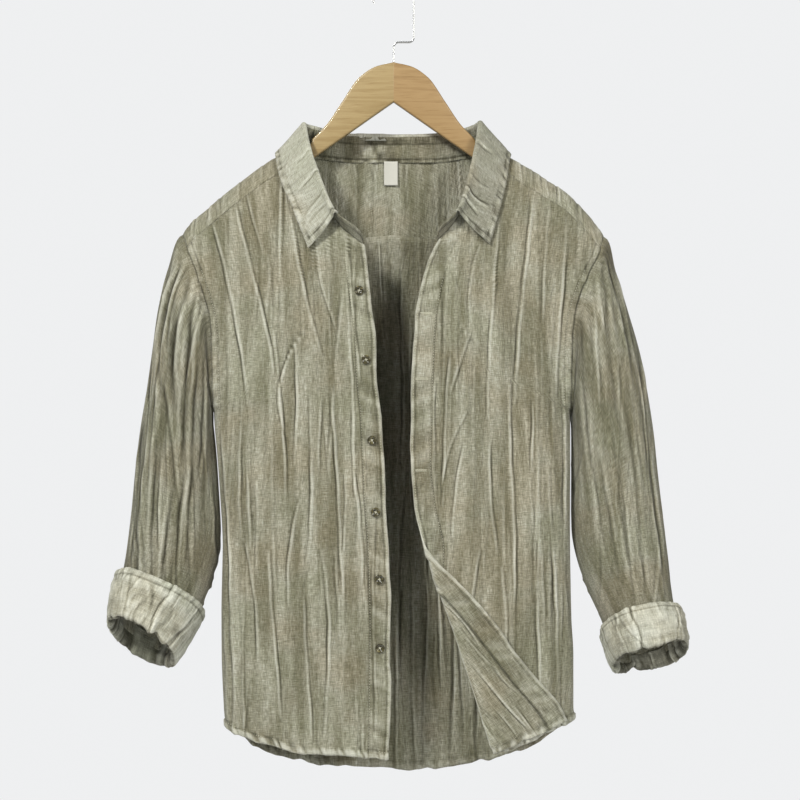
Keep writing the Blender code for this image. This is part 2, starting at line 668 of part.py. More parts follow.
def button(number, x, down):
    """A round button with a raised rim, lying on the front."""
    y = float(wall_y(x, down, False)) - WALL / 2 - BUTTON_CLEAR
    profile = [(0.0, BUTTON_THICK - 1.0), (BUTTON_RADIUS * 0.62, BUTTON_THICK - 1.0),
               (BUTTON_RADIUS * 0.74, BUTTON_THICK), (BUTTON_RADIUS * 0.92, BUTTON_THICK * 0.9),
               (BUTTON_RADIUS, BUTTON_THICK * 0.5), (BUTTON_RADIUS * 0.9, 0.0), (0.0, 0.0)]
    bm = bmesh.new()
    verts = [bm.verts.new((radius * MM, 0, height * MM)) for radius, height in profile]
    for start, end in zip(verts, verts[1:]):
        bm.edges.new((start, end))
    bmesh.ops.spin(bm, geom=bm.verts[:] + bm.edges[:], cent=(0, 0, 0), axis=(0, 0, 1),
                   angle=math.tau, steps=12, use_merge=True)
    bmesh.ops.remove_doubles(bm, verts=bm.verts, dist=0.00001)
    bmesh.ops.recalc_face_normals(bm, faces=bm.faces)
    mesh = bpy.data.meshes.new("button")
    bm.to_mesh(mesh)
    bm.free()
    mesh.shade_smooth()
    obj = bpy.data.objects.new("button_%d" % number, mesh)
    slope = (float(wall_y(x + 4, down, False)) - float(wall_y(x - 4, down, False))) / 8
    obj.location = Vector((x, y, -down)) * MM
    obj.rotation_euler = (math.radians(90), 0, math.atan(slope))
    finish(obj, "button", 0.25)


def buttons():
    """Six buttons down the left front, a fixed step in from its edge."""
    for number, down in enumerate(BUTTON_DOWN, 1):
        button(number, -float(read(LEFT_EDGE, "across", down)) - BUTTON_INSET, down)


def hanger_top(x):
    """Upper edge of the wooden hanger: a rounded crest, then just under the shoulder."""
    crest = table("across down", [(0, HANGER_CREST), (20, 118.5), (40, 131.5), (60, 160),
                                  (79, 188), (98, 207.5)])
    under_neck = HANGER_DIP * np.exp(-((np.abs(x) - 106) / 14) ** 2)
    shoulder = ridge(x) + HANGER_UNDER + under_neck
    return np.where(np.abs(x) < 98, read(crest, "down", np.abs(x)), shoulder)


def hanger_half(sign, name, colour):
    """One arm of the hanger, cut from flat board with rounded edges."""
    half_gap = 0.2
    round_over = HANGER_ROUND
    inner = half_gap + round_over
    top_x = np.array([inner, 10, 20, 30, 40, 50, 60, 70, 80, 90, 98, 113, 130, 150, 170, 190, 205,
                      HANGER_REACH - round_over - 4])
    low = HANGER_APEX + HANGER_SLOPE * top_x
    top = hanger_top(sign * top_x)
    outline = [(x, down + 1.2 * round_over) for x, down in zip(top_x, top)]
    tip_top, tip_low = top[-1] + round_over, low[-1] - round_over
    for turn in (0.25, 0.5, 0.75):
        angle = math.pi * turn
        outline.append((top_x[-1] + 4 * math.sin(angle),
                        (tip_top + tip_low) / 2 - (tip_low - tip_top) / 2 * math.cos(angle)))
    outline += [(x, down - 1.2 * round_over) for x, down in list(zip(top_x, low))[::-3]]
    outline[-1] = (inner, HANGER_APEX + HANGER_SLOPE * inner - round_over)
    data = bpy.data.curves.new(name, "CURVE")
    data.dimensions = "2D"
    data.fill_mode = "BOTH"
    data.extrude = (HANGER_THICK / 2 - round_over) * MM
    data.bevel_depth = round_over * MM
    data.bevel_resolution = 1
    spline = data.splines.new("POLY")
    spline.points.add(len(outline) - 1)
    for point, (x, down) in zip(spline.points, outline):
        point.co = (sign * x * MM, -down * MM, 0, 1)
    spline.use_cyclic_u = True
    obj = bpy.data.objects.new(name, data)
    obj.rotation_euler = (math.radians(90), 0, 0)
    finish(obj, colour, 0.4)


def hook():
    """The steel wire hook: up from the wood, a small crank to the side, and round the rail."""
    centre = HOOK_RADIUS - WIRE_RADIUS
    bend = 6.0
    route = [(0, HANGER_CREST - 0.4), (0, HOOK_CRANK + bend)]
    route += [(bend * (1 - math.cos(a)), HOOK_CRANK + bend * (1 - math.sin(a)))
              for a in (0.4, 0.8, 1.2, math.pi / 2)]
    route += [(HOOK_RADIUS - bend + bend * math.sin(a), HOOK_CRANK - bend * (1 - math.cos(a)))
              for a in (0, 0.4, 0.8, 1.2, math.pi / 2)]
    route += [(HOOK_RADIUS, down) for down in (70, 55, 40)]
    route += [(HOOK_RADIUS * math.cos(a), centre - HOOK_RADIUS * math.sin(a))
              for a in np.linspace(0, math.pi, 17)]
    route += [(-HOOK_RADIUS, centre + 10), (-HOOK_RADIUS, centre + 20)]
    data = bpy.data.curves.new("hanger_hook", "CURVE")
    data.dimensions = "3D"
    data.bevel_depth = WIRE_RADIUS * MM
    data.bevel_resolution = 2
    data.use_fill_caps = True
    spline = data.splines.new("POLY")
    spline.points.add(len(route) - 1)
    for point, (x, down) in zip(spline.points, route):
        point.co = (x * MM, 0, -down * MM, 1)
    obj = bpy.data.objects.new("hanger_hook", data)
    finish(obj, "steel", 0.3, 1.0)


def main():
    """Clear the scene and build the shirt on its hanger."""
    for obj in list(bpy.data.objects):
        bpy.data.objects.remove(obj)
    collection = bpy.data.collections.new(COLLECTION)
    bpy.context.scene.collection.children.link(collection)
    fronts()
    back()
    yoke()
    sleeves()
    collar()
    label()
    buttons()
    hanger_half(-1, "hanger_arm_left", "wood_pale")
    hanger_half(1, "hanger_arm_right", "wood_tan")
    hook()


main()
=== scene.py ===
# %% [markdown]
# # A crinkled shirt on a wooden hanger
# The real shirt is sewn from double gauze: two thin, open layers of slubby cotton and linen that
# are caught together, washed and dried twisted, so that they shrink into long, sharp, uneven
# creases. It hangs open from a flat wooden hanger, its sleeves are rolled, and one lower corner of
# the front is turned back. A shirt can be draped by simulation, but these creases are set in the
# cloth and would be lost in it. So every panel is a fine grid laid on the form of its own solid in
# the frame, and the creases are pressed into it one by one.

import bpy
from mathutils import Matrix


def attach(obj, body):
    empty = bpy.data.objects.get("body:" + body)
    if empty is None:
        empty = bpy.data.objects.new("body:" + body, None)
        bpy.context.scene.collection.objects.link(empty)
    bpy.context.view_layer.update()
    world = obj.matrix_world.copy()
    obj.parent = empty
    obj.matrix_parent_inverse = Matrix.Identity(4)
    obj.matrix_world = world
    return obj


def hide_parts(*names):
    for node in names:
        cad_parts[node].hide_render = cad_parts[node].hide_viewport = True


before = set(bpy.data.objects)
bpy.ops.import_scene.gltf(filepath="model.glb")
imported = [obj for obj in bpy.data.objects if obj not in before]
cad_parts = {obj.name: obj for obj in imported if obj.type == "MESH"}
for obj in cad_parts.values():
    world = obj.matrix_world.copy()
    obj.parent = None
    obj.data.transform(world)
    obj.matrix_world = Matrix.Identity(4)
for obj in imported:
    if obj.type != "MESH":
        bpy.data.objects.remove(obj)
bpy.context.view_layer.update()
print("nodes in the frame:", len(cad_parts))

# %% Modules and units
import math

import bmesh
import bpy
import numpy as np
from mathutils import Matrix, Vector

MM = 0.001

# %% [markdown]
# ## The form that the cloth hangs in
# Each panel needs to know where the shirt's surface is. On a real shirt that is settled by the
# pattern and by the hanger. A scan of points would do, but a short table for each line of the
# shirt is easier to read and to change. Sizes are in millimetres, heights are distances down from
# the hook's resting point, and the front faces -Y. A smooth curve is read through each table.

# %% Tables and how they are read
def table(columns, rows):
    """Name the columns of a short table; the first column is the one it is read by."""
    return dict(zip(columns.split(), np.array(rows, float).T))


def between(start, end, share):
    """A value or a place part of the way from start to end."""
    return start + (end - start) * share


def smooth_curve(values, slopes, cell, t, gap):
    """A cubic curve at a fraction t of a cell, from the values and slopes at the cell's ends."""
    curve = between(values[cell], values[cell + 1], t * t * (3 - 2 * t))
    return curve + (slopes[cell] * (1 - t) ** 2 - slopes[cell + 1] * t * (1 - t)) * t * gap


def read(rows, column, at):
    """A column's value at a place along the table's first column, on a smooth curve."""
    keys = next(iter(rows.values()))
    values = rows[column]
    gaps = np.diff(keys)
    slopes = np.diff(values) / gaps
    product = slopes[:-1] * slopes[1:]
    total = slopes[:-1] + slopes[1:]
    inner = np.where(product > 0, 2 * product / np.where(total == 0, 1, total), 0)
    tangents = np.concatenate([slopes[:1], inner, slopes[-1:]])
    at = np.clip(np.asarray(at, float), keys[0], keys[-1])
    cell = np.clip(np.searchsorted(keys, at, side="right") - 1, 0, len(gaps) - 1)
    return smooth_curve(values, tangents, cell, (at - keys[cell]) / gaps[cell], gaps[cell])


def by_side(rows, x, at, names=("left", "right")):
    """Read the left column where x is negative and the right one where it is positive."""
    return np.where(np.asarray(x) < 0, read(rows, names[0], at), read(rows, names[1], at))


def evenly(points, places):
    """Points at the given fractions of a polyline's length."""
    steps = np.linalg.norm(np.diff(points, axis=0), axis=1)
    length = np.concatenate([[0], np.cumsum(steps)])
    wanted = np.asarray(places) * length[-1]
    return np.stack([np.interp(wanted, length, points[:, k]) for k in range(points.shape[1])], 1)


RIDGE = table("across left right", [
    (0, 150, 150), (60, 180, 180), (113, 214, 213), (140, 228, 229.5), (180, 256, 253.5),
    (207, 276.5, 270.5), (226, 293, 289.5), (246, 311, 313), (254, 323, 326)])
EDGE = table("down left right spare", [
    (323, 254, 254, 76), (345, 246, 247, 72), (371, 236, 234, 62), (400, 226.5, 222, 50),
    (428, 219.5, 215.5, 40), (460, 217.6, 213.2, 30), (498, 217, 212.6, 16), (520, 216.4, 212.4, 7),
    (536, 216, 212.4, 0), (594, 211.5, 212.4, 0), (648, 208.3, 212.4, 0), (703, 205.5, 212.6, 0),
    (784, 206, 214.2, 0), (832, 206, 216.8, 0), (915, 202.5, 216.8, 0)])
DEPTH = table("down front back", [
    (200, 44, 38), (326, 44, 38), (450, 47, 38), (600, 46, 36), (800, 44, 35), (970, 42, 34)])
NECK = table("along left left_q right right_q", [
    (0, 0, 96, 0, 96), (56, 55, 68, 55, 68), (88, 84, 46, 84, 46), (120, 110, 20, 110, 20),
    (140, 113.5, 0, 113, 0), (170, 112, -30, 112, -30), (198, 104, -58, 104, -58),
    (246, 85, -104, 88, -100), (286, 62, -149, 72, -139), (318, 36, -185, 51.8, -172)])
FOLDS = table("across down lean length width depth", [
    (-200, 330, 0.02, 230, 17, -4.5), (-150, 300, 0.10, 330, 18, -4.5),
    (-118, 540, -0.04, 350, 20, 4.0), (-92, 330, 0.16, 280, 17, -4.5),
    (-62, 620, 0.02, 310, 17, -4.0), (-172, 600, 0.03, 290, 18, 4.0),
    (164, 290, -0.06, 400, 17, -5.0), (200, 300, -0.03, 300, 17, -4.5),
    (96, 330, -0.12, 280, 17, 4.5), (66, 470, -0.02, 210, 15, -4.5),
    (118, 540, 0.06, 260, 18, -4.0), (150, 620, 0.0, 280, 18, 4.0)])
BACK_FOLDS = table("across down lean length width depth", [
    (-150, 380, 0.03, 420, 20, 3.0), (-84, 460, -0.02, 380, 18, -3.0), (-30, 380, 0.03, 440, 20, 2.8),
    (36, 520, -0.03, 360, 20, -2.8), (92, 380, 0.02, 420, 18, 3.0), (156, 430, -0.04, 380, 20, -3.0)])

SQUARENESS = 3.5           # exponent of the body's rounded section
RIDGE_LENGTH = 110.0       # how fast the cloth spreads below the hanger
RIDGE_RADIUS = 8.4         # of the fold over the hanger
YOKE_FRONT = -35.0         # front yoke seam, measured round the ridge from its top
YOKE_BACK = 322.0          # back yoke seam at the middle
YOKE_BACK_SLOPE = 0.10
SEAM_TUCK = 1.5            # how far a front or the back starts above its yoke seam, under the yoke
YOKE_ALONG = 174.0         # where the yoke gives way to the front along the neck seam
NECK_END = 316.0           # where the neck seam ends, along it from the middle of the back
UNDERARM = 536.0

# %% The body's surface
def ridge(x):
    """Height of the fold over the hanger."""
    return by_side(RIDGE, x, np.abs(x))


def side_edge(x, down):
    """Distance from the middle to the armhole seam, and below it to the side seam."""
    return by_side(EDGE, x, down)


def drop_of(q):
    """Height lost at the distance q round the ridge; q is negative in front."""
    return q * q / (2 * RIDGE_RADIUS + np.abs(q))


def q_of(drop):
    """The distance round the ridge that gives a drop."""
    return (drop + np.sqrt(drop * drop + 8 * RIDGE_RADIUS * drop)) / 2


def broad_folds(folds, x, down):
    """How far the broad soft folds push the cloth out or in."""
    relief = np.zeros(np.broadcast(x, down).shape)
    for across, top, lean, length, width, depth in zip(*folds.values()):
        t = (down - top) / length
        fade = np.where((t > 0) & (t < 1), np.sin(np.pi * np.clip(t, 0, 1)) ** 0.7, 0)
        relief = relief + depth * fade * np.exp(-((x - across - lean * (down - top)) / width) ** 2)
    return relief


def wall_y(x, down, back):
    """Where the front or the back of the body lies behind or before the hanger's plane."""
    drop = np.maximum(down - ridge(x), 0)
    spread = np.sqrt(1 - np.exp(-drop / RIDGE_LENGTH))
    reach = side_edge(x, down) + read(EDGE, "spare", down)
    share = np.minimum(np.abs(x) / reach, 1)
    rounding = (1 - share ** SQUARENESS) ** (1 / SQUARENESS)
    depth = read(DEPTH, "back" if back else "front", down)
    relief = broad_folds(BACK_FOLDS if back else FOLDS, x, down) * rounding ** 2
    y = (depth + relief) * spread * rounding
    return y if back else -y


def over_ridge(x, q):
    """A point of the shoulder or the body, q round the ridge from its top."""
    down = ridge(x) + drop_of(q)
    y = np.where(q > 0, wall_y(x, down, True), wall_y(x, down, False))
    return np.stack([x, y, down], -1)


def neck_point(along):
    """The neck seam; along is negative on the left and 0 at the middle of the back."""
    x = by_side(NECK, along, np.abs(along)) * np.where(along < 0, -1, 1)
    q = by_side(NECK, along, np.abs(along), ("left_q", "right_q"))
    return x, q


def front_seam(x):
    """Height of the seam between the yoke and a front."""
    return ridge(x) + drop_of(YOKE_FRONT)


def back_seam(x):
    """Height of the seam between the yoke and the back."""
    return YOKE_BACK + YOKE_BACK_SLOPE * np.abs(x)


def corner(sign, seam):
    """Where a seam meets the armhole: seam gives its height from the signed distance across."""
    down = 340.0
    for _ in range(30):
        down = float(seam(sign * float(side_edge(sign, down))))
    return float(side_edge(sign, down)), down


print("the armhole runs from %.0f to %.0f mm down" % (float(ridge(254.0)), UNDERARM))

# %% [markdown]
# ## How the crinkle is made
# Real crinkle is a set of long, narrow, nearly parallel creases: a sharp groove with a raised lip
# on one side, that wanders, starts and ends softly, and now and then meets its neighbour. Noise
# alone gives lumps and not lines. So each crease is a line of its own, with a place, a length, a
# lean, a width and a depth. The main ones are listed one by one and the fine ones are scattered
# from a seed. Each crease also leaves a painted shading value on the mesh, which the finish turns
# into painted shade in its groove and a painted highlight on its raised lip.

# %% Creases
def soft_noise(u, v, size_u, size_v, seed, around=64):
    """Smooth noise from -1 to 1 with lumps of the given size, repeating after so many lumps."""
    lattice = np.random.default_rng(seed).uniform(-1, 1, (64, 64))
    a = u / size_u
    b = v / size_v
    i = np.floor(a).astype(int)
    j = np.floor(b).astype(int)
    s = a - i
    t = b - j
    s = s * s * (3 - 2 * s)
    t = t * t * (3 - 2 * t)
    here, beside = i % around, (i + 1) % around
    low, high = j % 64, (j + 1) % 64
    return ((lattice[here, low] * (1 - s) + lattice[beside, low] * s) * (1 - t)
            + (lattice[here, high] * (1 - s) + lattice[beside, high] * s) * t)


CREASE_COLUMNS = "across down mid_across mid_down end_across end_down width depth lip"
SEAM_WIDTH = 1.1           # mm, of the groove that a row of stitches makes
AWAY = 900                 # mm, moves every place that noise is read at to the positive side
FAR = 99.0                 # mm, stands for a seam that a place is not near


def scatter_creases(across, down, spacing, seed, depth=(0.35, 1.0), length=(110, 380), lean=0.035):
    """Fine creases over a panel between two limits across and two limits down."""
    rng = np.random.default_rng(seed)
    rows = []
    area = (across[1] - across[0]) * (down[1] - down[0])
    count = int(area / (spacing * sum(length) / 2))
    for number in range(count):
        x = across[0] + (across[1] - across[0]) * ((number * 0.618034 + rng.uniform(0, 0.02)) % 1)
        long = rng.uniform(*length)
        top = rng.uniform(down[0] - long * 0.4, down[1] - long * 0.5)
        slope = rng.normal(0, lean)
        bow = rng.normal(0, lean * 18)
        rows.append((x, top, x + slope * long / 2 + bow, top + long / 2, x + slope * long, top + long,
                     rng.uniform(1.2, 2.0), rng.uniform(*depth), rng.choice((-1, 1))))
    return table(CREASE_COLUMNS, rows)


def press(creases, u, v, wander=1.2, sharp=1.0):
    """The creases' height in mm, and their painted shading: 1 is painted shade in a groove, -1 a painted
    highlight on a ridge.
    """
    height = np.zeros(np.shape(u))
    painted_shading = np.zeros(np.shape(u))
    for number, row in enumerate(zip(*creases.values())):
        x0, v0, x1, v1, x2, v2, width, depth, lip = row
        width = width * sharp
        t = (v - v0) / (v2 - v0)
        near = (t > 0) & (t < 1)
        if not near.any():
            continue
        t, place = t[near], v[near]
        middle = (v1 - v0) / (v2 - v0)
        bend = (x1 - x0 - (x2 - x0) * middle) / (middle * (1 - middle))
        line = x0 + (x2 - x0) * t + bend * t * (1 - t)
        line = line + wander * np.sin(place / 38 + number * 2.1) + 0.35 * np.sin(place / 9 + number)
        off = u[near] - line
        swell = 0.75 + 0.25 * np.sin(place / 23 + number * 1.7)
        fade = np.sin(np.pi * t) ** 0.4 * swell
        cut = np.exp(-(off / width) ** 2)
        raised = np.exp(-((off - lip * 1.6 * width) / (0.9 * width)) ** 2)
        height[near] += fade * depth * (1.15 * raised - cut)
        narrow = np.exp(-(off / (0.75 * width)) ** 2)
        # painted shading: painted shade in the narrow groove, painted highlight on the raised lip
        painted_shading[near] += fade * min(depth, 1.4) * (0.85 * narrow - 0.6 * raised)
    return height, np.clip(painted_shading, -1, 1)


def smooth_step(value, low, high):
    """0 below low, 1 above high, and smooth between."""
    t = np.clip((value - low) / (high - low), 0, 1)
    return t * t * (3 - 2 * t)


def falling(value, low, high):
    """1 below low, 0 above high, and smooth between."""
    return 1 - smooth_step(value, low, high)


def pucker(along, away, seed, band=7.0, size=7.5, height=0.55):
    """The small ridges that thread pulls up across a sewn band next to an edge or seam."""
    ripple = soft_noise(along + 0.5 * away, away * 0, size * 0.55, 50, seed)
    inside = smooth_step(away, -0.5, 1.0) * falling(away, band - 1.0, band + 4.0)
    return height * ripple * inside


def wavy(along, away, seed, size=22.0, reach=24.0, amount=1.2):
    """How far an edge swings from its line, fading into the cloth behind it."""
    return amount * soft_noise(along, along * 0, size, 50, seed) * falling(away, 0, reach)


def side_lap(to_side, down):
    """How far a front or the back passes the side seam below the underarm, to close it."""
    return 1.8 * falling(to_side, 0, 4) * smooth_step(down, UNDERARM - 20, UNDERARM)


def mark(away, at=0.0, strength=1.0, width=SEAM_WIDTH):
    """A narrow line at a distance from an edge, such as the groove that stitches sink into cloth."""
    return strength * np.exp(-((away - at) / width) ** 2)


print("a sample of fine creases:", len(scatter_creases((0, 300), (300, 900), 8, 1)["across"]))

# %% [markdown]
# ## From a grid to a piece of cloth
# A panel could be drawn, unwrapped and sculpted by hand. Here `create_grid` makes it, and its
# vertices are then moved onto the form, row by row. Three things go with each vertex: its place in
# the uncut cloth, which is the UV map that the weave follows, its painted shading value, which the
# finish turns into painted shade and highlight, and its height above the form. Solidify then gives
# the sheet its thickness, so that hems show an edge.

# %% Object and panel helpers
CLOTH_WALL = 1.1
COLLAR_WALL = 1.7
CUFF_WALL = 1.9
WELD = 0.00002             # m, within which vertices are merged
pieces = {}


def put(name, data):
    """A new object in the scene, at the origin."""
    obj = bpy.data.objects.new(name, data)
    bpy.context.scene.collection.objects.link(obj)
    return obj


def into(mesh, bm):
    """Write a bmesh into a mesh and free it; mesh is a name where a new one is wanted."""
    if isinstance(mesh, str):
        mesh = bpy.data.meshes.new(mesh)
    bm.to_mesh(mesh)
    bm.free()
    return mesh


def opened(mesh):
    """A bmesh with a mesh's geometry."""
    bm = bmesh.new()
    bm.from_mesh(mesh)
    return bm


def places_of(mesh):
    """The places of a mesh's vertices."""
    flat = np.zeros(len(mesh.vertices) * 3, np.float32)
    mesh.vertices.foreach_get("co", flat)
    return flat.reshape(-1, 3)


def grid_normals(points, outward, closed=False):
    """The unit normals of a grid of x, y and down; outward is 1 or -1."""
    if closed:
        ring = np.concatenate([points[:, -2:-1], points, points[:, 1:2]], axis=1)
        by_column = (ring[:, 2:] - ring[:, :-2]) / 2
    else:
        by_column = np.gradient(points, axis=1)
    normal = np.cross(by_column, np.gradient(points, axis=0)) * outward
    size = np.linalg.norm(normal, axis=-1, keepdims=True)
    return normal / np.maximum(size, 1e-9)


def blank_grid(name, columns, rows):
    """A mesh of quads whose vertices run along each row in turn."""
    bm = bmesh.new()
    bmesh.ops.create_grid(bm, x_segments=columns, y_segments=rows, size=0.5)
    return into(name, bm)


def dress(mesh, points, u, v, painted_shading):
    """Place a mesh's vertices, given as x, y and down, and store their UVs and painted shading values."""
    place = np.array(points, float).reshape(-1, 3) * (MM, MM, -MM)
    mesh.vertices.foreach_set("co", place.astype(np.float32).ravel())
    corners = np.zeros(len(mesh.loops), np.int32)
    mesh.loops.foreach_get("vertex_index", corners)
    flat = np.column_stack([np.ravel(u), np.ravel(v)])[corners] * MM
    layer = mesh.uv_layers.new(name="cloth")
    layer.data.foreach_set("uv", flat.astype(np.float32).ravel())
    # painted shading: shade in grooves and along seams, highlight on ridges and edges
    attribute = mesh.attributes.new("painted_shading", "FLOAT", "POINT")
    attribute.data.foreach_set("value", np.ravel(painted_shading).astype(np.float32))
    mesh.update()


def sew(name, mesh, material, wall, nodes, welded=False, flip=False):
    """Turn a placed sheet into a finished piece that stands for its solids in the frame."""
    bm = opened(mesh)
    if welded:
        bmesh.ops.remove_doubles(bm, verts=bm.verts, dist=WELD)
    if flip:
        bmesh.ops.reverse_faces(bm, faces=bm.faces)
    into(mesh, bm)
    mesh.shade_smooth()
    mesh.materials.append(material)
    obj = put(name, mesh)
    skin = obj.modifiers.new("wall", "SOLIDIFY")
    skin.thickness = wall * MM
    skin.offset = 0
    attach(obj, "root")
    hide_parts(*nodes)
    pieces[name] = obj
    area = sum(polygon.area for polygon in mesh.polygons)
    print("%s: %d faces, %.3f square metres" % (name, len(mesh.polygons), area))
    return obj


def panel(name, points, u, v, height, painted_shading, outward, material, wall, nodes, closed=False):
    """Raise a grid by its relief and finish it; returns the piece and its raised grid."""
    normals = grid_normals(points, outward, closed)
    raised = points + normals * height[..., None]
    if closed:
        raised[:, -1] = raised[:, 0]
    rows, columns = points.shape[0] - 1, points.shape[1] - 1
    mesh = blank_grid(name, columns, rows)
    dress(mesh, raised, u, v, painted_shading)
    return sew(name, mesh, material, wall, nodes, closed, outward > 0), raised, normals


print("walls of %.1f, %.1f and %.1f mm" % (CLOTH_WALL, COLLAR_WALL, CUFF_WALL))

# %% [markdown]
# ## Finishes
# A finish starts from what the real one is. Double gauze is a loose plain weave of slubby yarn, so
# its colour runs in short streaks along both thread directions, and it is quite matt. The streaks
# and the weave are noise and waves in the cloth's own UVs, which are in metres. Each scale below
# is a real size in millimetres; the threads are drawn about twice as coarse as they are, so that
# they show from three metres away. The same small function adds every node.

# %% Node and colour helpers
def linear(hex_colour):
    """An sRGB hex colour as the linear one that shaders use."""
    parts = [int(hex_colour[i:i + 2], 16) / 255 for i in (1, 3, 5)]
    return tuple(c / 12.92 if c <= 0.04045 else ((c + 0.055) / 1.055) ** 2.4 for c in parts) + (1.0,)


def add(tree, kind, settings=None, links=None):
    """Add a node, set its values and sockets, and link its inputs."""
    node = tree.nodes.new(kind)
    for name, value in (settings or {}).items():
        if isinstance(name, int) or name in node.inputs:
            node.inputs[name].default_value = value
        else:
            setattr(node, name, value)
    for name, source in (links or {}).items():
        tree.links.new(source, node.inputs[name])
    return node


def ramp(tree, factor, stops):
    """A colour ramp over a factor, from pairs of place and colour."""
    node = add(tree, "ShaderNodeValToRGB", links={"Fac": factor})
    while len(node.color_ramp.elements) < len(stops):
        node.color_ramp.elements.new(0.5)
    for element, (place, colour) in zip(node.color_ramp.elements, stops):
        element.position = place
        element.color = colour
    return node.outputs["Color"]


def maths(tree, operation, *values):
    """A Math node's output from its inputs, each a number or another node's output."""
    numbers = {place: value for place, value in enumerate(values) if isinstance(value, (int, float))}
    links = {place: value for place, value in enumerate(values) if place not in numbers}
    return add(tree, "ShaderNodeMath", {"operation": operation, **numbers}, links).outputs[0]


def multiplied(tree, first, second, share=1.0):
    """One colour multiplied by another, by a share."""
    return add(tree, "ShaderNodeMixRGB", {"blend_type": "MULTIPLY", "Fac": share},
               {"Color1": first, "Color2": second}).outputs[0]


def new_material(name, settings):
    """A node material, its tree and its shader with some inputs set."""
    material = bpy.data.materials.new(name)
    material.use_nodes = True
    shader = material.node_tree.nodes["Principled BSDF"]
    for socket, value in settings.items():
        shader.inputs[socket].default_value = value
    return material, material.node_tree, shader


WHITE = (1, 1, 1, 1)
print("olive in linear light:", [round(c, 3) for c in linear("#9C9A80")[:3]])

# %% Woven cloth
THREAD = 1.25              # mm from thread to thread, drawn twice as coarse as it is
SLUB = (1.0, 9.0)          # mm, how thick and long the uneven stretches of a thread are
FADE = (20.0, 170.0)       # mm, how broad and long the streaks are where the dye has washed out
PATCH = 62.0               # mm, the size of the faded patches


def woven(name, dark, middle, light, warm, cool, depth=1.0, fading=1.0):
    """Garment-dyed gauze: slubby streaks both ways, faded patches, painted shade in grooves, painted
    highlight on ridges, raised threads.
    """
    material, tree, shader = new_material(name, {
        "Roughness": 0.93, "Specular IOR Level": 0.22, "Sheen Weight": 0.12, "Sheen Roughness": 0.5})
    uv = add(tree, "ShaderNodeUVMap", {"uv_map": "cloth"}).outputs["UV"]
    place = add(tree, "ShaderNodeTexCoord").outputs["Object"]

    def streak(across, along, seed):
        scale = add(tree, "ShaderNodeMapping", {"Scale": (1 / (across * MM), 1 / (along * MM), 1),
                                                "Location": (seed, seed * 0.7, 0)}, {"Vector": uv})
        return add(tree, "ShaderNodeTexNoise", {"Scale": 1.0, "Detail": 3.0, "Roughness": 0.6},
                   {"Vector": scale.outputs[0]}).outputs["Fac"]

    warp, weft = streak(SLUB[0], SLUB[1], 3.1), streak(SLUB[1], SLUB[0], 7.7)
    slubs = maths(tree, "MULTIPLY", maths(tree, "ADD", warp, weft), 0.5)
    yarn = ramp(tree, slubs, [(0.34, dark), (0.5, middle), (0.66, light)])
    patch = add(tree, "ShaderNodeTexNoise", {"Scale": 1 / (PATCH * MM), "Detail": 2.0},
                {"Vector": place}).outputs["Fac"]
    tint = ramp(tree, patch, [(0.36, warm), (0.5, WHITE), (0.64, cool)])
    faded = ramp(tree, streak(FADE[0], FADE[1], 5.3),
                 [(0.37, linear("#C3C1B4")), (0.5, linear("#E3E2DC")), (0.61, WHITE)])
    dyed = multiplied(tree, multiplied(tree, yarn, tint), faded, fading)
    # painted shade: the stored painted shading darkens the colour toward deep olive in grooves and seams
    painted_shading = add(tree, "ShaderNodeAttribute", {"attribute_name": "painted_shading"}).outputs["Fac"]
    sunk = add(tree, "ShaderNodeMapRange", {"From Min": -1.0}, {"Value": painted_shading}).outputs[0]
    shade = ramp(tree, sunk, [(0.0, WHITE), (0.5, linear("#E2E1DD")), (1.0, linear("#524E3A"))])
    # painted highlight: below 0 the colour is mixed toward the light yarn colour on ridges and edges
    painted_ridge_highlight = add(tree, "ShaderNodeMapRange", {"From Min": 0.0, "From Max": -1.0, "To Max": 0.55},
                 {"Value": painted_shading}).outputs[0]
    colour = add(tree, "ShaderNodeMixRGB", {"Color2": light},
                 {"Fac": painted_ridge_highlight, "Color1": multiplied(tree, dyed, shade, 0.9)}).outputs[0]
    tree.links.new(colour, shader.inputs["Base Color"])

    axes = add(tree, "ShaderNodeSeparateXYZ", links={0: uv}).outputs
    waves = [maths(tree, "SINE", maths(tree, "MULTIPLY", axes[axis], math.pi / (THREAD * MM)))
             for axis in ("X", "Y")]
    relief = maths(tree, "MULTIPLY_ADD", maths(tree, "MULTIPLY", *waves), 0.06, slubs)
    relief = maths(tree, "ADD", streak(2.0, 7.0, 1.3), relief)
    relief = maths(tree, "MULTIPLY_ADD", streak(5.0, 20.0, 9.1), 2.2, relief)
    bump = add(tree, "ShaderNodeBump", {"Strength": depth, "Distance": 1.7 * MM}, {"Height": relief})
    tree.links.new(bump.outputs[0], shader.inputs["Normal"])
    return material


gauze = woven("garment_dyed_olive_double_gauze", linear("#7B7864"), linear("#A9A796"), linear("#D6D5C9"),
              linear("#FBF6F1"), linear("#F5F7F2"))
gauze_wrong = woven("paler_wrong_side_of_double_gauze", linear("#9F9E90"), linear("#BDBDB0"),
                    linear("#E8E8DC"), linear("#FAF6F0"), linear("#F3F6F0"), depth=1.0, fading=0.35)
# the collar leaf's gauze: interlined and less faded, and paler as painted light for the leaf's face that
# catches the lamp
gauze_interlined_painted_lighter = woven("interlined_double_gauze_painted_lighter", linear("#8E8C7B"), linear("#B5B4A6"),
                      linear("#D9D9CF"), linear("#FBF6F1"), linear("#F5F7F2"), depth=0.9, fading=0.4)
print("finishes:", gauze.name, "and", gauze_wrong.name)

# %% [markdown]
# ## The fronts
# Each front runs from the armhole and side seam to its free edge, and from the yoke seam to the
# hem. On the right one the lower corner has been turned back, so the panel is first laid flat, cut
# along the fold line so that edges run along the fold, and then bent over it.

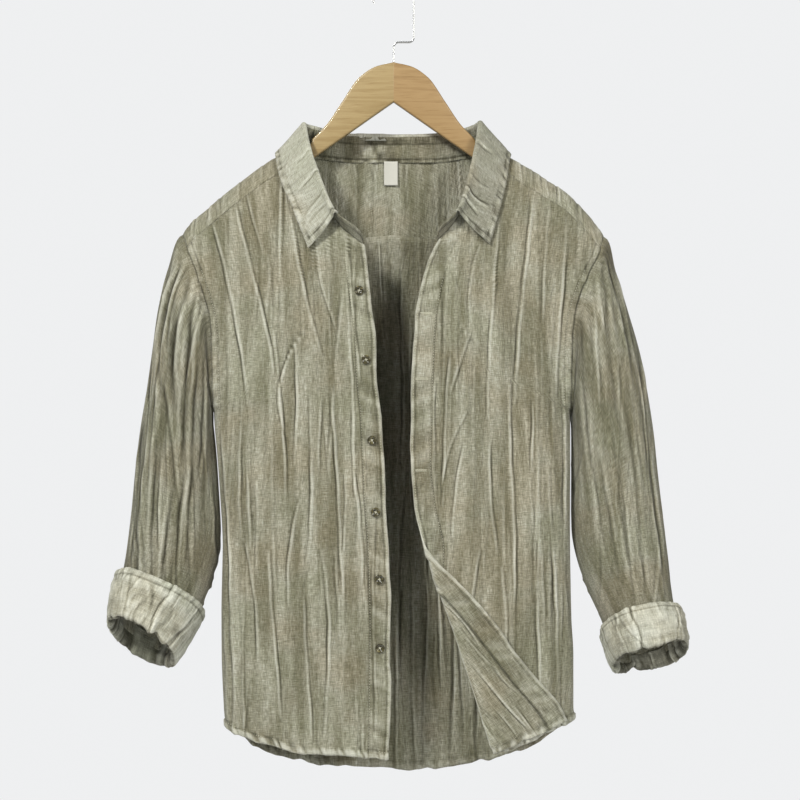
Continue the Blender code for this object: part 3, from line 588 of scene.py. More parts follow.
# %% Outlines of the fronts
LEFT_EDGE = table("down across", [
    (332, 36), (347, 33.9), (395, 28), (451, 21.2), (499, 19), (538, 14.8), (637, 10.1),
    (703, 5.4), (784, 3.5), (903, 4.5), (950, 5.4)])
RIGHT_EDGE = table("down across", [
    (332, 51.8), (358, 40), (391, 31.5), (428, 25.6), (483, 22.5), (549, 20.8), (593, 19.6),
    (648, 25), (700, 35), (724, 34), (753, 27), (821, 22), (888, 20), (940, 17), (966, 20)])
LEFT_HEM = table("across down", [
    (5.4, 950), (46, 947.5), (97, 945), (141, 936), (185, 924), (202.5, 915)])
RIGHT_HEM = table("across down", [
    (20, 966), (70, 956), (118, 945), (153, 935), (182, 920), (216.8, 907)])
FRONT = {"left": (-1, LEFT_EDGE, LEFT_HEM), "right": (1, RIGHT_EDGE, RIGHT_HEM)}
FOLD_TOP = np.array((43.0, 704.0))
FOLD_BOTTOM = np.array((120.8, 944.0))
FOLD_RADIUS = 2.6
FOLD_STEPS = 6
FACING = 26.0
FACING_STITCH, EDGE_STITCH, HEM_STITCH, ARM_STITCH = FACING - 1.5, 5.0, 8.5, 7.5
CHEST_LINE = 450.0
NECK_ROWS = 36
EDGE_ROWS = 124
MAIN_COLUMNS = 208
FACING_COLUMNS = 22


def toward_hem(share):
    """Row places that crowd together at the hem, where the stitched band needs them."""
    return 1.06 * share - 0.06 * share ** 12


def front_spots(side):
    """Places of a front's grid in its unfolded outline, and their distance across the cloth."""
    sign, opening, hem = FRONT[side]
    neck_x, neck_q = neck_point(sign * np.linspace(YOKE_ALONG, NECK_END, NECK_ROWS + 1))
    neck = np.column_stack([np.abs(neck_x), ridge(neck_x) + drop_of(neck_q)])
    keys = opening["down"]
    steps = toward_hem(np.linspace(0, 1, EDGE_ROWS + 1)[1:])
    lower = between(keys[0], keys[-1], steps)
    inner = np.concatenate([neck, np.column_stack([read(opening, "across", lower), lower])])
    _, top = corner(sign, front_seam)
    chest = np.linspace(top, CHEST_LINE, NECK_ROWS + 1)
    downs = np.concatenate([chest, between(CHEST_LINE, hem["down"][-1], steps)])
    outer = np.column_stack([side_edge(sign, downs), downs])
    rows = NECK_ROWS + EDGE_ROWS
    fine = 1 - np.cos(np.linspace(0, np.pi / 2, 240))[:, None]
    first, last = between(outer[0], inner[0], fine), between(outer[-1], inner[-1], fine)
    to_seam = front_seam(sign * first[:, 0]) - SEAM_TUCK - first[:, 1]
    to_hem = read(hem, "down", last[:, 0]) - last[:, 1]
    spots = np.zeros((rows + 1, MAIN_COLUMNS + FACING_COLUMNS + 1, 2))
    cloth_u = np.zeros(spots.shape[:2])
    for row in range(rows + 1):
        share = row / rows
        line = between(outer[row], inner[row], fine)
        line[:, 1] += (1 - share) ** 4 * to_seam + share ** 8 * to_hem
        solid = np.column_stack([line[:, 0], wall_y(sign * line[:, 0], line[:, 1], False), line[:, 1]])
        length = np.linalg.norm(np.diff(solid, axis=0), axis=1).sum()
        facing = min(FACING / length, 0.3)
        places = np.concatenate([np.linspace(0, 1 - facing, MAIN_COLUMNS + 1),
                                 np.linspace(1 - facing, 1, FACING_COLUMNS + 1)[1:]])
        spots[row] = evenly(solid, places)[:, [0, 2]]
        cloth_u[row] = inner[row][0] + (1 - places) * length
    spots[..., 0] *= sign
    return spots, cloth_u * sign


def fold_over(spots):
    """Carry places past the fold line round the fold and back over the front."""
    along = (FOLD_BOTTOM - FOLD_TOP) / np.linalg.norm(FOLD_BOTTOM - FOLD_TOP)
    outward = np.array((-along[1], along[0]))
    reach = np.maximum((spots - FOLD_TOP) @ outward, 0)
    turn = np.minimum(reach / FOLD_RADIUS, np.pi)
    beyond = reach - turn * FOLD_RADIUS
    shift = FOLD_RADIUS * np.sin(turn) - beyond - reach
    return spots + outward * shift[..., None], FOLD_RADIUS * (1 - np.cos(turn))


def front_form(side, spots):
    """Where places of the flat front lie once it hangs and its corner is turned."""
    lift = 0.0
    if side == "right":
        spots, lift = fold_over(spots)
    x, down = spots[..., 0], spots[..., 1]
    return np.stack([x, np.minimum(wall_y(x, down, False), -0.3) - lift, down], -1)


def front_normal(side, spots):
    """The direction out of the cloth's right side at places of the flat front."""
    step = 0.4
    here = front_form(side, spots)
    across = front_form(side, spots + (step, 0)) - here
    downward = front_form(side, spots + (0, step)) - here
    normal = np.cross(across, downward)
    return normal / np.linalg.norm(normal, axis=-1, keepdims=True)


print("each front has", (NECK_ROWS + EDGE_ROWS) * (MAIN_COLUMNS + FACING_COLUMNS), "faces")

# %% [markdown]
# The main creases of the two fronts come from looking closely at how this shirt hangs: long lines
# that fall from the shoulders, a V where two meet on the left chest, and on the right a tight group
# that gathers toward the free edge at the waist.

# %% Creases of the fronts
MAIN_CREASES = {
    "left": table(CREASE_COLUMNS, [
        (-224, 301, -190, 428, -178, 530, 2.2, 1.7, 1), (-195, 262, -160, 392, -137, 512, 2.2, 1.6, -1),
        (-184, 250, -172, 296, -160, 345, 1.8, 1.3, 1), (-123, 296, -109, 365, -82, 470, 2.2, 1.6, -1),
        (-107, 436, -128, 470, -128, 566, 2.0, 1.6, 1), (-140, 440, -132, 520, -127, 640, 1.9, 1.5, -1),
        (-119, 440, -118, 520, -121, 600, 1.9, 1.5, 1), (-102, 515, -99, 590, -107, 720, 2.2, 1.7, 1),
        (-76, 500, -72, 590, -61, 750, 2.1, 1.7, 1), (-84, 520, -87, 560, -86, 610, 1.8, 1.1, -1),
        (-50, 530, -49, 580, -47, 640, 1.9, 1.4, 1), (-48, 600, -40, 650, -32, 760, 2.1, 1.6, -1),
        (-59, 610, -58, 655, -62, 705, 1.8, 1.4, 1), (-114, 640, -124, 680, -126, 770, 2.0, 1.4, 1),
        (-173, 610, -170, 650, -167, 700, 1.9, 1.2, -1), (-181, 540, -181, 600, -178, 690, 2.0, 1.2, -1),
        (-207, 560, -200, 700, -193, 850, 2.1, 1.5, 1), (-179, 690, -169, 740, -166, 830, 2.0, 1.3, 1),
        (-54, 330, -44, 430, -38, 500, 2.0, 1.5, -1), (-92, 300, -86, 390, -70, 440, 1.8, 1.2, 1),
        (-145, 700, -140, 800, -132, 905, 2.0, 1.4, -1), (-88, 700, -80, 800, -84, 925, 2.1, 1.5, 1),
        (-104, 760, -100, 840, -96, 930, 1.9, 1.2, -1), (-24, 700, -26, 800, -22, 930, 1.8, 1.2, 1)]),
    "right": table(CREASE_COLUMNS, [
        (164, 258, 153, 392, 140, 530, 2.3, 1.9, 1), (141, 500, 145, 640, 147, 830, 2.3, 1.8, -1),
        (211, 310, 203, 400, 198, 520, 2.2, 1.6, -1), (199, 500, 204, 590, 205, 680, 2.0, 1.4, 1),
        (103, 335, 91, 375, 89, 430, 1.9, 1.4, 1), (114, 415, 113, 470, 110, 545, 2.0, 1.6, 1),
        (96, 440, 84, 470, 70, 512, 1.9, 1.5, -1), (76, 430, 90, 400, 98, 455, 1.8, 1.1, 1),
        (117, 570, 117, 630, 128, 705, 2.1, 1.7, -1), (163, 520, 163, 560, 162, 615, 1.9, 1.3, 1),
        (93, 530, 72, 575, 58, 640, 1.9, 1.5, -1), (66, 470, 60, 545, 55, 650, 1.9, 1.5, 1),
        (81, 575, 72, 640, 69, 690, 1.8, 1.4, 1), (104, 700, 98, 740, 92, 790, 1.9, 1.3, -1),
        (52, 500, 50, 570, 51, 600, 1.8, 1.4, -1), (186, 640, 190, 740, 194, 860, 2.1, 1.3, 1),
        (130, 720, 138, 800, 134, 880, 2.0, 1.4, -1), (172, 690, 170, 790, 174, 900, 2.0, 1.4, 1),
        (112, 790, 118, 860, 124, 935, 1.9, 1.3, 1), (60, 745, 84, 830, 100, 930, 2.0, 1.4, -1),
        (186, 285, 178, 350, 176, 430, 1.8, 1.2, 1), (128, 300, 124, 360, 122, 430, 1.8, 1.2, -1)])}
FLAP_CREASES = table(CREASE_COLUMNS, [
    (92, 836, 128, 880, 170, 925, 1.6, 1.5, 1), (78, 790, 96, 812, 120, 838, 1.4, 1.1, -1),
    (60, 764, 84, 790, 98, 812, 1.4, 1.2, 1), (146, 886, 160, 904, 176, 926, 1.4, 1.4, -1),
    (120, 892, 134, 908, 148, 930, 1.4, 0.9, 1), (104, 900, 116, 918, 132, 940, 1.4, 1.0, -1),
    (118, 838, 130, 856, 148, 872, 1.4, 1.1, 1), (86, 800, 92, 850, 108, 900, 1.4, 0.7, 1)])
FINE_CREASES = {
    "left": scatter_creases((-250, -8), (240, 960), 8.5, 11),
    "right": scatter_creases((16, 250), (240, 970), 9.5, 23)}


def front_relief(side, spots, cloth_u):
    """Height above the form and painted shading value at places of a flat front."""
    _, opening, hem = FRONT[side]
    x, down = spots[..., 0], spots[..., 1]
    across = np.abs(x)
    main, main_painted_shading = press(MAIN_CREASES[side], x, down, sharp=0.8)
    fine, fine_painted_shading = press(FINE_CREASES[side], x, down)
    swell = 2.1 * soft_noise(x + AWAY, down, 19, 210, 5) + 0.8 * soft_noise(x + AWAY, down, 7, 110, 6)
    to_edge = across - read(opening, "across", down)
    to_hem = read(hem, "down", across) - down
    to_yoke = down - front_seam(x)
    to_arm = np.where(down < UNDERARM, side_edge(x, down) - across, FAR)
    calm = (smooth_step(to_hem, 0, 22) * smooth_step(to_yoke, -2, 18) * smooth_step(to_arm, -1, 14)
            * smooth_step(to_edge, 2, 30))
    calm = 0.3 + 0.7 * calm
    if side == "right":
        folded, _ = fold_over(spots)
        turned = smooth_step(np.abs(folded[..., 0] - x), 0, 1)
        flap, flap_painted_shading = press(FLAP_CREASES, folded[..., 0], folded[..., 1])
        main = main * (1 - turned) - flap * turned
        main_painted_shading = np.where(turned > 0.5, flap_painted_shading, main_painted_shading)
        fine = fine * (1 - 0.75 * turned)
        fine_painted_shading = fine_painted_shading * (1 - 0.8 * turned)
        # painted highlight along the turned-back fold
        painted_fold_highlight = turned * np.exp(-(np.linalg.norm(folded - spots[..., :2], axis=-1) / 5) ** 2)
    else:
        painted_fold_highlight = 0 * x
    bunch = 0.25 + 0.75 * smooth_step(soft_noise(x + 700, down, 34, 120, 8), -0.45, 0.35)
    bunch = bunch * (1.0 if side == "left" else 0.65)
    fine, fine_painted_shading = fine * bunch, fine_painted_shading * bunch
    height = (main + fine + swell) * calm
    puckers = (pucker(down, to_edge, 31, band=23, size=15, height=0.9)
               + pucker(down, to_edge, 34, band=4, size=12, height=0.9)
               + pucker(cloth_u, to_hem, 32, band=8, size=7, height=2.0)
               + pucker(down, to_arm, 33, band=7, size=13, height=1.0))
    height = height + puckers + 0.8 * falling(to_hem, 7, 9.5)
    height = height + 0.9 * falling(to_arm, 6.5, 9) - 0.4 * falling(to_yoke, -2, 1.5)
    height = height - mark(to_edge, FACING_STITCH, 1.1) - mark(to_edge, EDGE_STITCH, 0.8)
    height = height - mark(to_hem, HEM_STITCH, 0.8) - mark(to_arm, ARM_STITCH, 0.8)
    # painted shading: shade in crease grooves and pucker dips, highlight on pucker ridges and along the
    # fold
    painted_shading = (main_painted_shading + fine_painted_shading) * calm - 0.35 * puckers - 0.9 * painted_fold_highlight
    # painted shade along the facing's edge, the stitch rows and the armhole seam; painted highlight at the
    # opening's and the hem's edges
    painted_shading += mark(to_edge, FACING - 1.0, 0.8) * smooth_step(down, 350, 380)
    painted_shading += mark(to_edge, EDGE_STITCH, 0.5) - 0.5 * falling(to_edge, 2, 4.5)
    painted_shading += mark(to_arm, 0, 0.9, 1.3) + mark(to_arm, ARM_STITCH, 0.5)
    painted_shading += mark(to_hem, HEM_STITCH, 0.5) - 0.5 * falling(to_hem, 5, 8)
    return height, np.clip(painted_shading, -1, 1)


print("creases by hand:", {side: len(rows["across"]) for side, rows in MAIN_CREASES.items()})

# %% Cut, fold and sew the fronts
def cut_along_fold(bm):
    """Add the edges that the turned corner bends along, in the flat outline."""
    along = (FOLD_BOTTOM - FOLD_TOP) / np.linalg.norm(FOLD_BOTTOM - FOLD_TOP)
    outward = Vector((-along[1], along[0], 0))
    start = Vector((*FOLD_TOP, 0))
    for step in range(FOLD_STEPS + 1):
        reach = step / FOLD_STEPS * math.pi * FOLD_RADIUS
        everything = bm.verts[:] + bm.edges[:] + bm.faces[:]
        bmesh.ops.bisect_plane(bm, geom=everything, dist=0.1, plane_co=start + outward * reach,
                               plane_no=outward)


def front_surface(side, place, u, inward):
    """Points and normals of the finished cloth at places of a flat front, and painted shading values."""
    height, painted_shading = front_relief(side, place, u)
    normal = front_normal(side, place)
    to_edge = np.abs(place[:, 0]) - read(FRONT[side][1], "across", place[:, 1])
    behind = inward * (1 - np.exp(-np.maximum(to_edge, 0) / 1.6)) + 0.15 * (inward > 0)
    spots = place.copy()
    to_hem = read(FRONT[side][2], "down", np.abs(place[:, 0])) - place[:, 1]
    to_side = side_edge(place[:, 0], place[:, 1]) - np.abs(place[:, 0])
    spots[:, 1] += wavy(u, to_hem, 35, size=11, amount=1.7) * smooth_step(to_side, 2, 16)
    spots[:, 0] += wavy(place[:, 1], to_edge, 36, size=26, amount=1.3)
    raised = front_form(side, spots) + normal * (height - behind)[:, None]
    raised[:, 1] += side_lap(to_side, place[:, 1])
    return raised, normal, painted_shading


def front_piece(side, name, first, top, inward, node):
    """A front, or the facing behind its free edge, from a column and a row on."""
    spots, cloth_u = front_spots(side)
    spots, cloth_u = spots[top:, first:], cloth_u[top:, first:]
    mesh = blank_grid(name, spots.shape[1] - 1, spots.shape[0] - 1)
    flat = np.column_stack([spots.reshape(-1, 2), cloth_u.ravel()])
    mesh.vertices.foreach_set("co", flat.astype(np.float32).ravel())
    if side == "right":
        bm = opened(mesh)
        cut_along_fold(bm)
        into(mesh, bm)
    flat = places_of(mesh).astype(float)
    place, u = flat[:, :2], flat[:, 2]
    raised, _, painted_shading = front_surface(side, place, u, inward)
    dress(mesh, raised, u, place[:, 1], painted_shading)
    return sew(name, mesh, gauze, CLOTH_WALL, [node], flip=side == "left")


FACING_BEHIND = 1.7
fronts = {}
for side, node in (("left", "button_side"), ("right", "buttonhole_side")):
    fronts[side] = front_piece(side, "front_cloth_" + node, 0, 0, 0.0, "front_" + node)
    facing = front_piece(side, "facing_cloth_" + node, MAIN_COLUMNS, NECK_ROWS, FACING_BEHIND,
                         "facing_" + node)
print("fronts:", fronts["left"].name, "and", fronts["right"].name)

# %% [markdown]
# ## The back and the yoke
# The yoke is the doubled piece over the shoulders. The back is sewn under it and ends in a curved
# tail, longer than the fronts, so that its hem shows below them. Neither is fully seen from the
# front, so they carry the same kind of creases, scattered from a seed.

# %% The back
BACK_HEM = table("across down", [
    (-202.5, 915), (-184, 929), (-170, 944), (-136, 956), (-97, 965.5), (-16, 971.5),
    (32, 973), (86, 965.5), (142, 954.5), (174, 939), (202, 919), (216.8, 907)])


def back_columns(left, right, columns, reach, band=44.0):
    """Places across the back: even in the middle, and closer together where it wraps to a seam."""
    places = np.linspace(-reach, reach, columns + 1)
    edge = np.where(places < 0, -left, right)
    start = edge - band
    t = np.clip((np.abs(places) - start) / (reach - start), 0, 1)
    return np.sign(places) * np.where(t > 0, start + band * np.sin(np.pi / 2 * t), np.abs(places))


def back_grid(columns, rows):
    """The back's form, from under the yoke seam to the curved tail."""
    (left_top, left_high), (right_top, right_high) = corner(-1, back_seam), corner(1, back_seam)
    left_low, right_low = BACK_HEM["down"][0], BACK_HEM["down"][-1]
    heights = np.linspace(min(left_high, right_high), left_low, 200)
    reach = 4 + max(side_edge(sign, heights).max() for sign in (-1, 1))
    points = np.zeros((rows + 1, columns + 1, 3))
    for row in range(rows + 1):
        share = toward_hem(row / rows)
        left_down = between(left_high, left_low, share)
        right_down = between(right_high, right_low, share)
        left = -float(side_edge(-1, left_down))
        right = float(side_edge(1, right_down))
        x = back_columns(left, right, columns, reach)
        part = (x - left) / (right - left)
        to_seam = back_seam(between(-left_top, right_top, part)) - SEAM_TUCK
        to_seam = to_seam - between(left_high, right_high, part)
        low_x = between(BACK_HEM["across"][0], BACK_HEM["across"][-1], part)
        to_hem = read(BACK_HEM, "down", low_x) - between(left_low, right_low, part)
        down = between(left_down, right_down, part) + (1 - share) ** 2 * to_seam + share ** 6 * to_hem
        points[row] = np.column_stack([x, np.maximum(wall_y(x, down, True), 0.3), down])
    return points


BACK_COLUMNS, BACK_ROWS = 350, 86
grid = back_grid(BACK_COLUMNS, BACK_ROWS)
along = np.linalg.norm(np.diff(grid, axis=1), axis=-1)
back_u = np.concatenate([np.zeros((len(grid), 1)), np.cumsum(along, axis=1)], axis=1)
back_u -= back_u[:, -1:] / 2
down = grid[..., 2]
to_hem = read(BACK_HEM, "down", grid[..., 0]) - down
to_yoke = down - back_seam(grid[..., 0])
to_arm = np.where(down < UNDERARM, side_edge(grid[..., 0], down) - np.abs(grid[..., 0]), FAR)
calm = 0.25 + 0.75 * smooth_step(to_hem, 0, 25) * smooth_step(to_yoke, -2, 16) * smooth_step(to_arm, 0, 12)
back_creases = scatter_creases((-285, 285), (330, 960), 15.0, 41, depth=(0.7, 1.7), length=(130, 420))
fine_back = scatter_creases((-285, 285), (330, 970), 16.0, 43, lean=0.05)
main, main_painted_shading = press(back_creases, grid[..., 0], down)
fine, fine_painted_shading = press(fine_back, grid[..., 0], down)
height = (main + fine + 2.0 * soft_noise(grid[..., 0] + AWAY, down, 20, 240, 44)) * calm
puckers = pucker(back_u, to_hem, 45, band=8, size=7, height=2.0)
height += puckers - mark(to_hem, HEM_STITCH, 0.8)
height += pucker(back_u, to_yoke, 46, band=6, size=9, height=0.5) - falling(to_yoke, -2, 2.5)
# painted shading: shade in creases and a little over the whole back, highlight on pucker ridges; painted
# shade along the hem's stitch row and highlight at its edge
painted_shading = main_painted_shading + 0.8 * fine_painted_shading + 0.12 - 0.45 * puckers
painted_shading += mark(to_hem, HEM_STITCH, 0.5) - 0.6 * falling(to_hem, 5, 8)
painted_shading = np.clip(painted_shading * calm, -1, 1)
grid[..., 1] -= side_lap(side_edge(grid[..., 0], down) - np.abs(grid[..., 0]), down)
grid[..., 2] += wavy(back_u, to_hem, 47, size=11, amount=2.2)
back_piece, back_raised, back_normals = panel("back_cloth", grid, back_u, down, height, painted_shading, -1,
                                              gauze, CLOTH_WALL, ["back"])

# %% The yoke
YOKE_ARM_COLUMNS = 96
YOKE_NECK_COLUMNS = 128
YOKE_ROWS = 56


def yoke_grid(rows):
    """The yoke from one front seam over the ridge to the back seam, and the distance round it."""
    stations = np.linspace(-YOKE_ALONG, YOKE_ALONG, YOKE_NECK_COLUMNS + 1)
    neck_x, neck_q = neck_point(stations)
    left_tip, right_tip = corner(-1, front_seam)[0], corner(1, front_seam)[0]
    share = np.linspace(0, 1, YOKE_ARM_COLUMNS + 1)[:-1]
    left_x = between(-left_tip, neck_x[0], share)
    right_x = between(right_tip, neck_x[-1], share[::-1])
    start_x = np.concatenate([left_x, neck_x, right_x])
    start_q = np.concatenate([left_x * 0 + YOKE_FRONT, np.maximum(neck_q, YOKE_FRONT),
                              right_x * 0 + YOKE_FRONT])
    columns = len(start_x) - 1
    end_x = np.linspace(-corner(-1, back_seam)[0], corner(1, back_seam)[0], columns + 1)
    end_x = (start_x + 2 * end_x) / 3
    end_q = q_of(back_seam(end_x) - ridge(end_x))
    behind = np.maximum(start_q, 17)
    clear = 0.22 * np.maximum(-start_q, 0) * np.exp((111 - np.abs(start_x)) / 30) * np.sign(start_x)
    outer = np.clip((np.abs(np.linspace(-1, 1, columns + 1)) - 0.4) / 0.6, 0, 1) ** 2
    points, qs = [], []
    for level in np.linspace(0, 1, rows + 1):
        q = between(start_q, end_q, level)
        x = start_x + clear * np.clip((q - start_q) / np.maximum(-start_q, 1), 0, 1)
        x += (end_x - start_x - clear) * np.clip((q - behind) / (end_q - behind), 0, 1)
        for sign, end in ((-1, 0), (1, -1)):
            edge = x[end]
            for _ in range(4):
                edge = sign * float(side_edge(sign, float(ridge(edge)) + float(drop_of(q[end]))))
            side = outer * (np.sign(start_x) == sign)
            x = x + (edge - x[end]) * side
        points.append(over_ridge(x, q))
        qs.append(q)
    return np.array(points), np.array(qs)


grid, round_ridge = yoke_grid(YOKE_ROWS)
x, down = grid[..., 0], grid[..., 2]
yoke_creases = scatter_creases((-250, 250), (-60, 150), 15.0, 51, depth=(0.6, 1.3), length=(80, 260))
# painted shading of the yoke's creases: shade in grooves, highlight on lips
main, painted_shading = press(yoke_creases, x, round_ridge, wander=1.5)
to_front = round_ridge - YOKE_FRONT
to_back = back_seam(x) - down + FAR * (round_ridge < 20)
to_arm = side_edge(x, down) - np.abs(x)
calm = 0.2 + 0.8 * smooth_step(to_front, 0, 14) * smooth_step(to_back, 0, 12) * smooth_step(to_arm, 0, 12)
height = 0.75 * (main + 1.0 * soft_noise(x + AWAY, round_ridge + 200, 16, 90, 52)) * calm
height += pucker(x, to_front, 53, band=5, size=8, height=0.4) - mark(to_front, 5, 0.4, 1.2)
height += pucker(x, to_back, 54, band=5, size=8, height=0.4) - mark(to_back, 5, 0.4, 1.2)
height += pucker(down, to_arm, 55, band=7, size=7, height=0.6) - mark(to_arm, ARM_STITCH, 0.5, 1.3)
yoke_piece, _, _ = panel("yoke_cloth", grid, x, round_ridge + 200, height, painted_shading * calm, -1, gauze,
                         CLOTH_WALL, ["yoke"])

# %% [markdown]
# ## Sleeves and rolled cuffs
# A sleeve is eased into its armhole, so it starts in strong gathers that open into long folds. The
# cuff is the sleeve's end rolled back twice, which turns the paler wrong side out and makes a firm
# ring that stands off the sleeve. Both are tubes: rings round the arm, joined down its length.

# %% Outlines of the sleeves
SLEEVE = {
    "left": table("out down under gap front back bow tilt", [
        (272, 364, 548, 2.9, 33, 31, 12, 0), (284, 412, 562, 2.9, 30, 32, 8, 0),
        (291, 460, 580, 2.9, 26, 33, 5, 0), (298, 508, 602, 2.9, 23, 34, 3, 0),
        (306, 556, 628, 2.9, 21, 34, 1, 0), (312, 604, 656, 2.9, 20, 34, 0, 0.05),
        (316.5, 652, 686, 4, 20, 34, 0, 0.15), (321.5, 696, 716, 9, 21, 33, 0, 0.35)]),
    "right": table("out down under gap front back bow tilt", [
        (268, 368, 550, 2.9, 33, 31, 12, 0), (283, 416, 566, 2.9, 30, 32, 8, 0),
        (297, 464, 586, 2.9, 26, 33, 5, 0), (306.5, 512, 610, 2.9, 23, 34, 3, 0),
        (314, 560, 636, 2.9, 21, 34, 1, 0), (319.5, 612, 662, 3, 20, 34, 0, 0.05),
        (325.5, 664, 690, 4.5, 20, 34, 0, 0.1), (331, 712, 722, 12, 21, 33, 0, 0.35)])}
CUFF = {
    "left": table("height out down under under_down deep tilt", [
        (0, 346.5, 793, 263, 834, 38, 0.68), (60, 335, 733, 228, 778, 30, 0.68)]),
    "right": table("height out down under under_down deep tilt", [
        (0, 357, 822, 264, 843, 38, 0.55), (50, 347, 777, 249.5, 800, 31, 0.72)])}
SLEEVE_FOLDS = table("turn first last width depth", [
    (28, 0.4, 8.0, 13, -3.4), (54, 1.0, 9.0, 13, 3.0), (84, 0.6, 7.5, 14, -3.4),
    (112, 1.4, 9.0, 14, 3.0), (146, 1.0, 6.0, 14, -3.0), (214, 0.6, 8.0, 15, -3.4),
    (250, 1.0, 9.0, 15, 3.0), (292, 0.6, 8.0, 15, -3.4), (330, 1.0, 7.0, 13, 3.0)])
SLEEVE_TURNS, SLEEVE_RINGS = 287, 97
ROUND_ARM = 400.0          # mm round the sleeve, all the way down
CUFF_TURNS, CUFF_RINGS = 181, 81
ROUND_CUFF = 300.0
CUFF_TALL = 50.0           # what the cuff's path is written for
CUFF_SEAM = 104            # degrees round the cuff
CUFF_STITCH = 6.5


def armhole(side, turns):
    """The armhole seam as a loop: shoulder tip, down the front, underarm, up the back."""
    sign = -1 if side == "left" else 1
    top = float(ridge(sign * 253.9))
    down = top + (UNDERARM - top) * (1 - np.cos(np.linspace(0, np.pi, 400))) / 2
    across = side_edge(sign, down)
    halves = [np.column_stack([across, wall_y(sign * across, down, behind), down])
              for behind in (False, True)]
    share = np.asarray(turns) / 180
    ahead = evenly(halves[0], np.clip(share, 0, 1))
    behind = evenly(halves[1], np.clip(2 - share, 0, 1))
    return np.where((share <= 1)[:, None], ahead, behind)


def oval(turns, outer, under, front, back, bow, tilt):
    """A ring from its outer and under points, its reach to the front and back, and its tilt."""
    angle = np.radians(turns)
    c = np.sign(np.cos(angle)) * np.abs(np.cos(angle)) ** 0.85
    s = np.sign(np.sin(angle)) * np.abs(np.sin(angle)) ** 0.85
    middle = (np.array(outer) + under) / 2
    half = (np.array(outer) - under) / 2
    y = -(front + back) / 2 * s
    return np.column_stack([middle[0] + half[0] * c - bow * s * s, y + (back - front) / 2,
                            middle[1] + half[1] * c + tilt * y])


def cuff_ring(side, turns, height, inset):
    """A ring of the rolled cuff, a height above its mouth and inset from its outside."""
    rows = CUFF[side]
    out, down, under, under_down, deep, tilt = (
        np.interp(min(height, rows["height"][1]), rows["height"], rows[name])
        for name in ("out", "down", "under", "under_down", "deep", "tilt"))
    return oval(turns, (out - inset, down), (under + inset, under_down), deep - inset, deep - inset,
                0.0, tilt)


def sleeve_rings(side, turns):
    """The sleeve's main rings, from just inside the armhole to the inside of the cuff."""
    sign = -1 if side == "left" else 1
    seam = armhole(side, turns)
    tucked = seam * (1, 0.94, 1) - (3.0, 0, 0)
    rings = [tucked, seam * (1, 0.975, 1) + (0.2, 0, 0)]
    for out, down, under, gap, front, rear, bow, tilt in zip(*SLEEVE[side].values()):
        inner = float(side_edge(sign, under)) + gap
        rings.append(oval(turns, (out, down), (inner, under), front, rear, bow, tilt))
    top = CUFF[side]["height"][1]
    for height in (top + 1, (top + 15) / 2, 13):
        rings.append(cuff_ring(side, turns, height, 8.0))
    return np.array(rings)


def smooth_rings(rings, count):
    """Many rings on smooth curves through a few, their distances along, and their levels."""
    steps = np.linalg.norm(np.diff(rings, axis=0), axis=-1).mean(axis=1)
    knots = np.concatenate([[0], np.cumsum(steps)])
    wanted = np.linspace(0, knots[-1], count)
    flat = rings.reshape(len(rings), -1)
    slopes = np.gradient(flat, knots, axis=0)
    cell = np.clip(np.searchsorted(knots, wanted, side="right") - 1, 0, len(knots) - 2)
    gap = np.diff(knots)[cell][:, None]
    curve = smooth_curve(flat, slopes, cell, (wanted - knots[cell])[:, None] / gap, gap)
    levels = np.interp(wanted, knots, np.arange(len(knots)) - 1.0)
    return curve.reshape(count, *rings.shape[1:]), wanted, levels


print("a sleeve has %d main rings" % (len(SLEEVE["left"]["out"]) + 5))

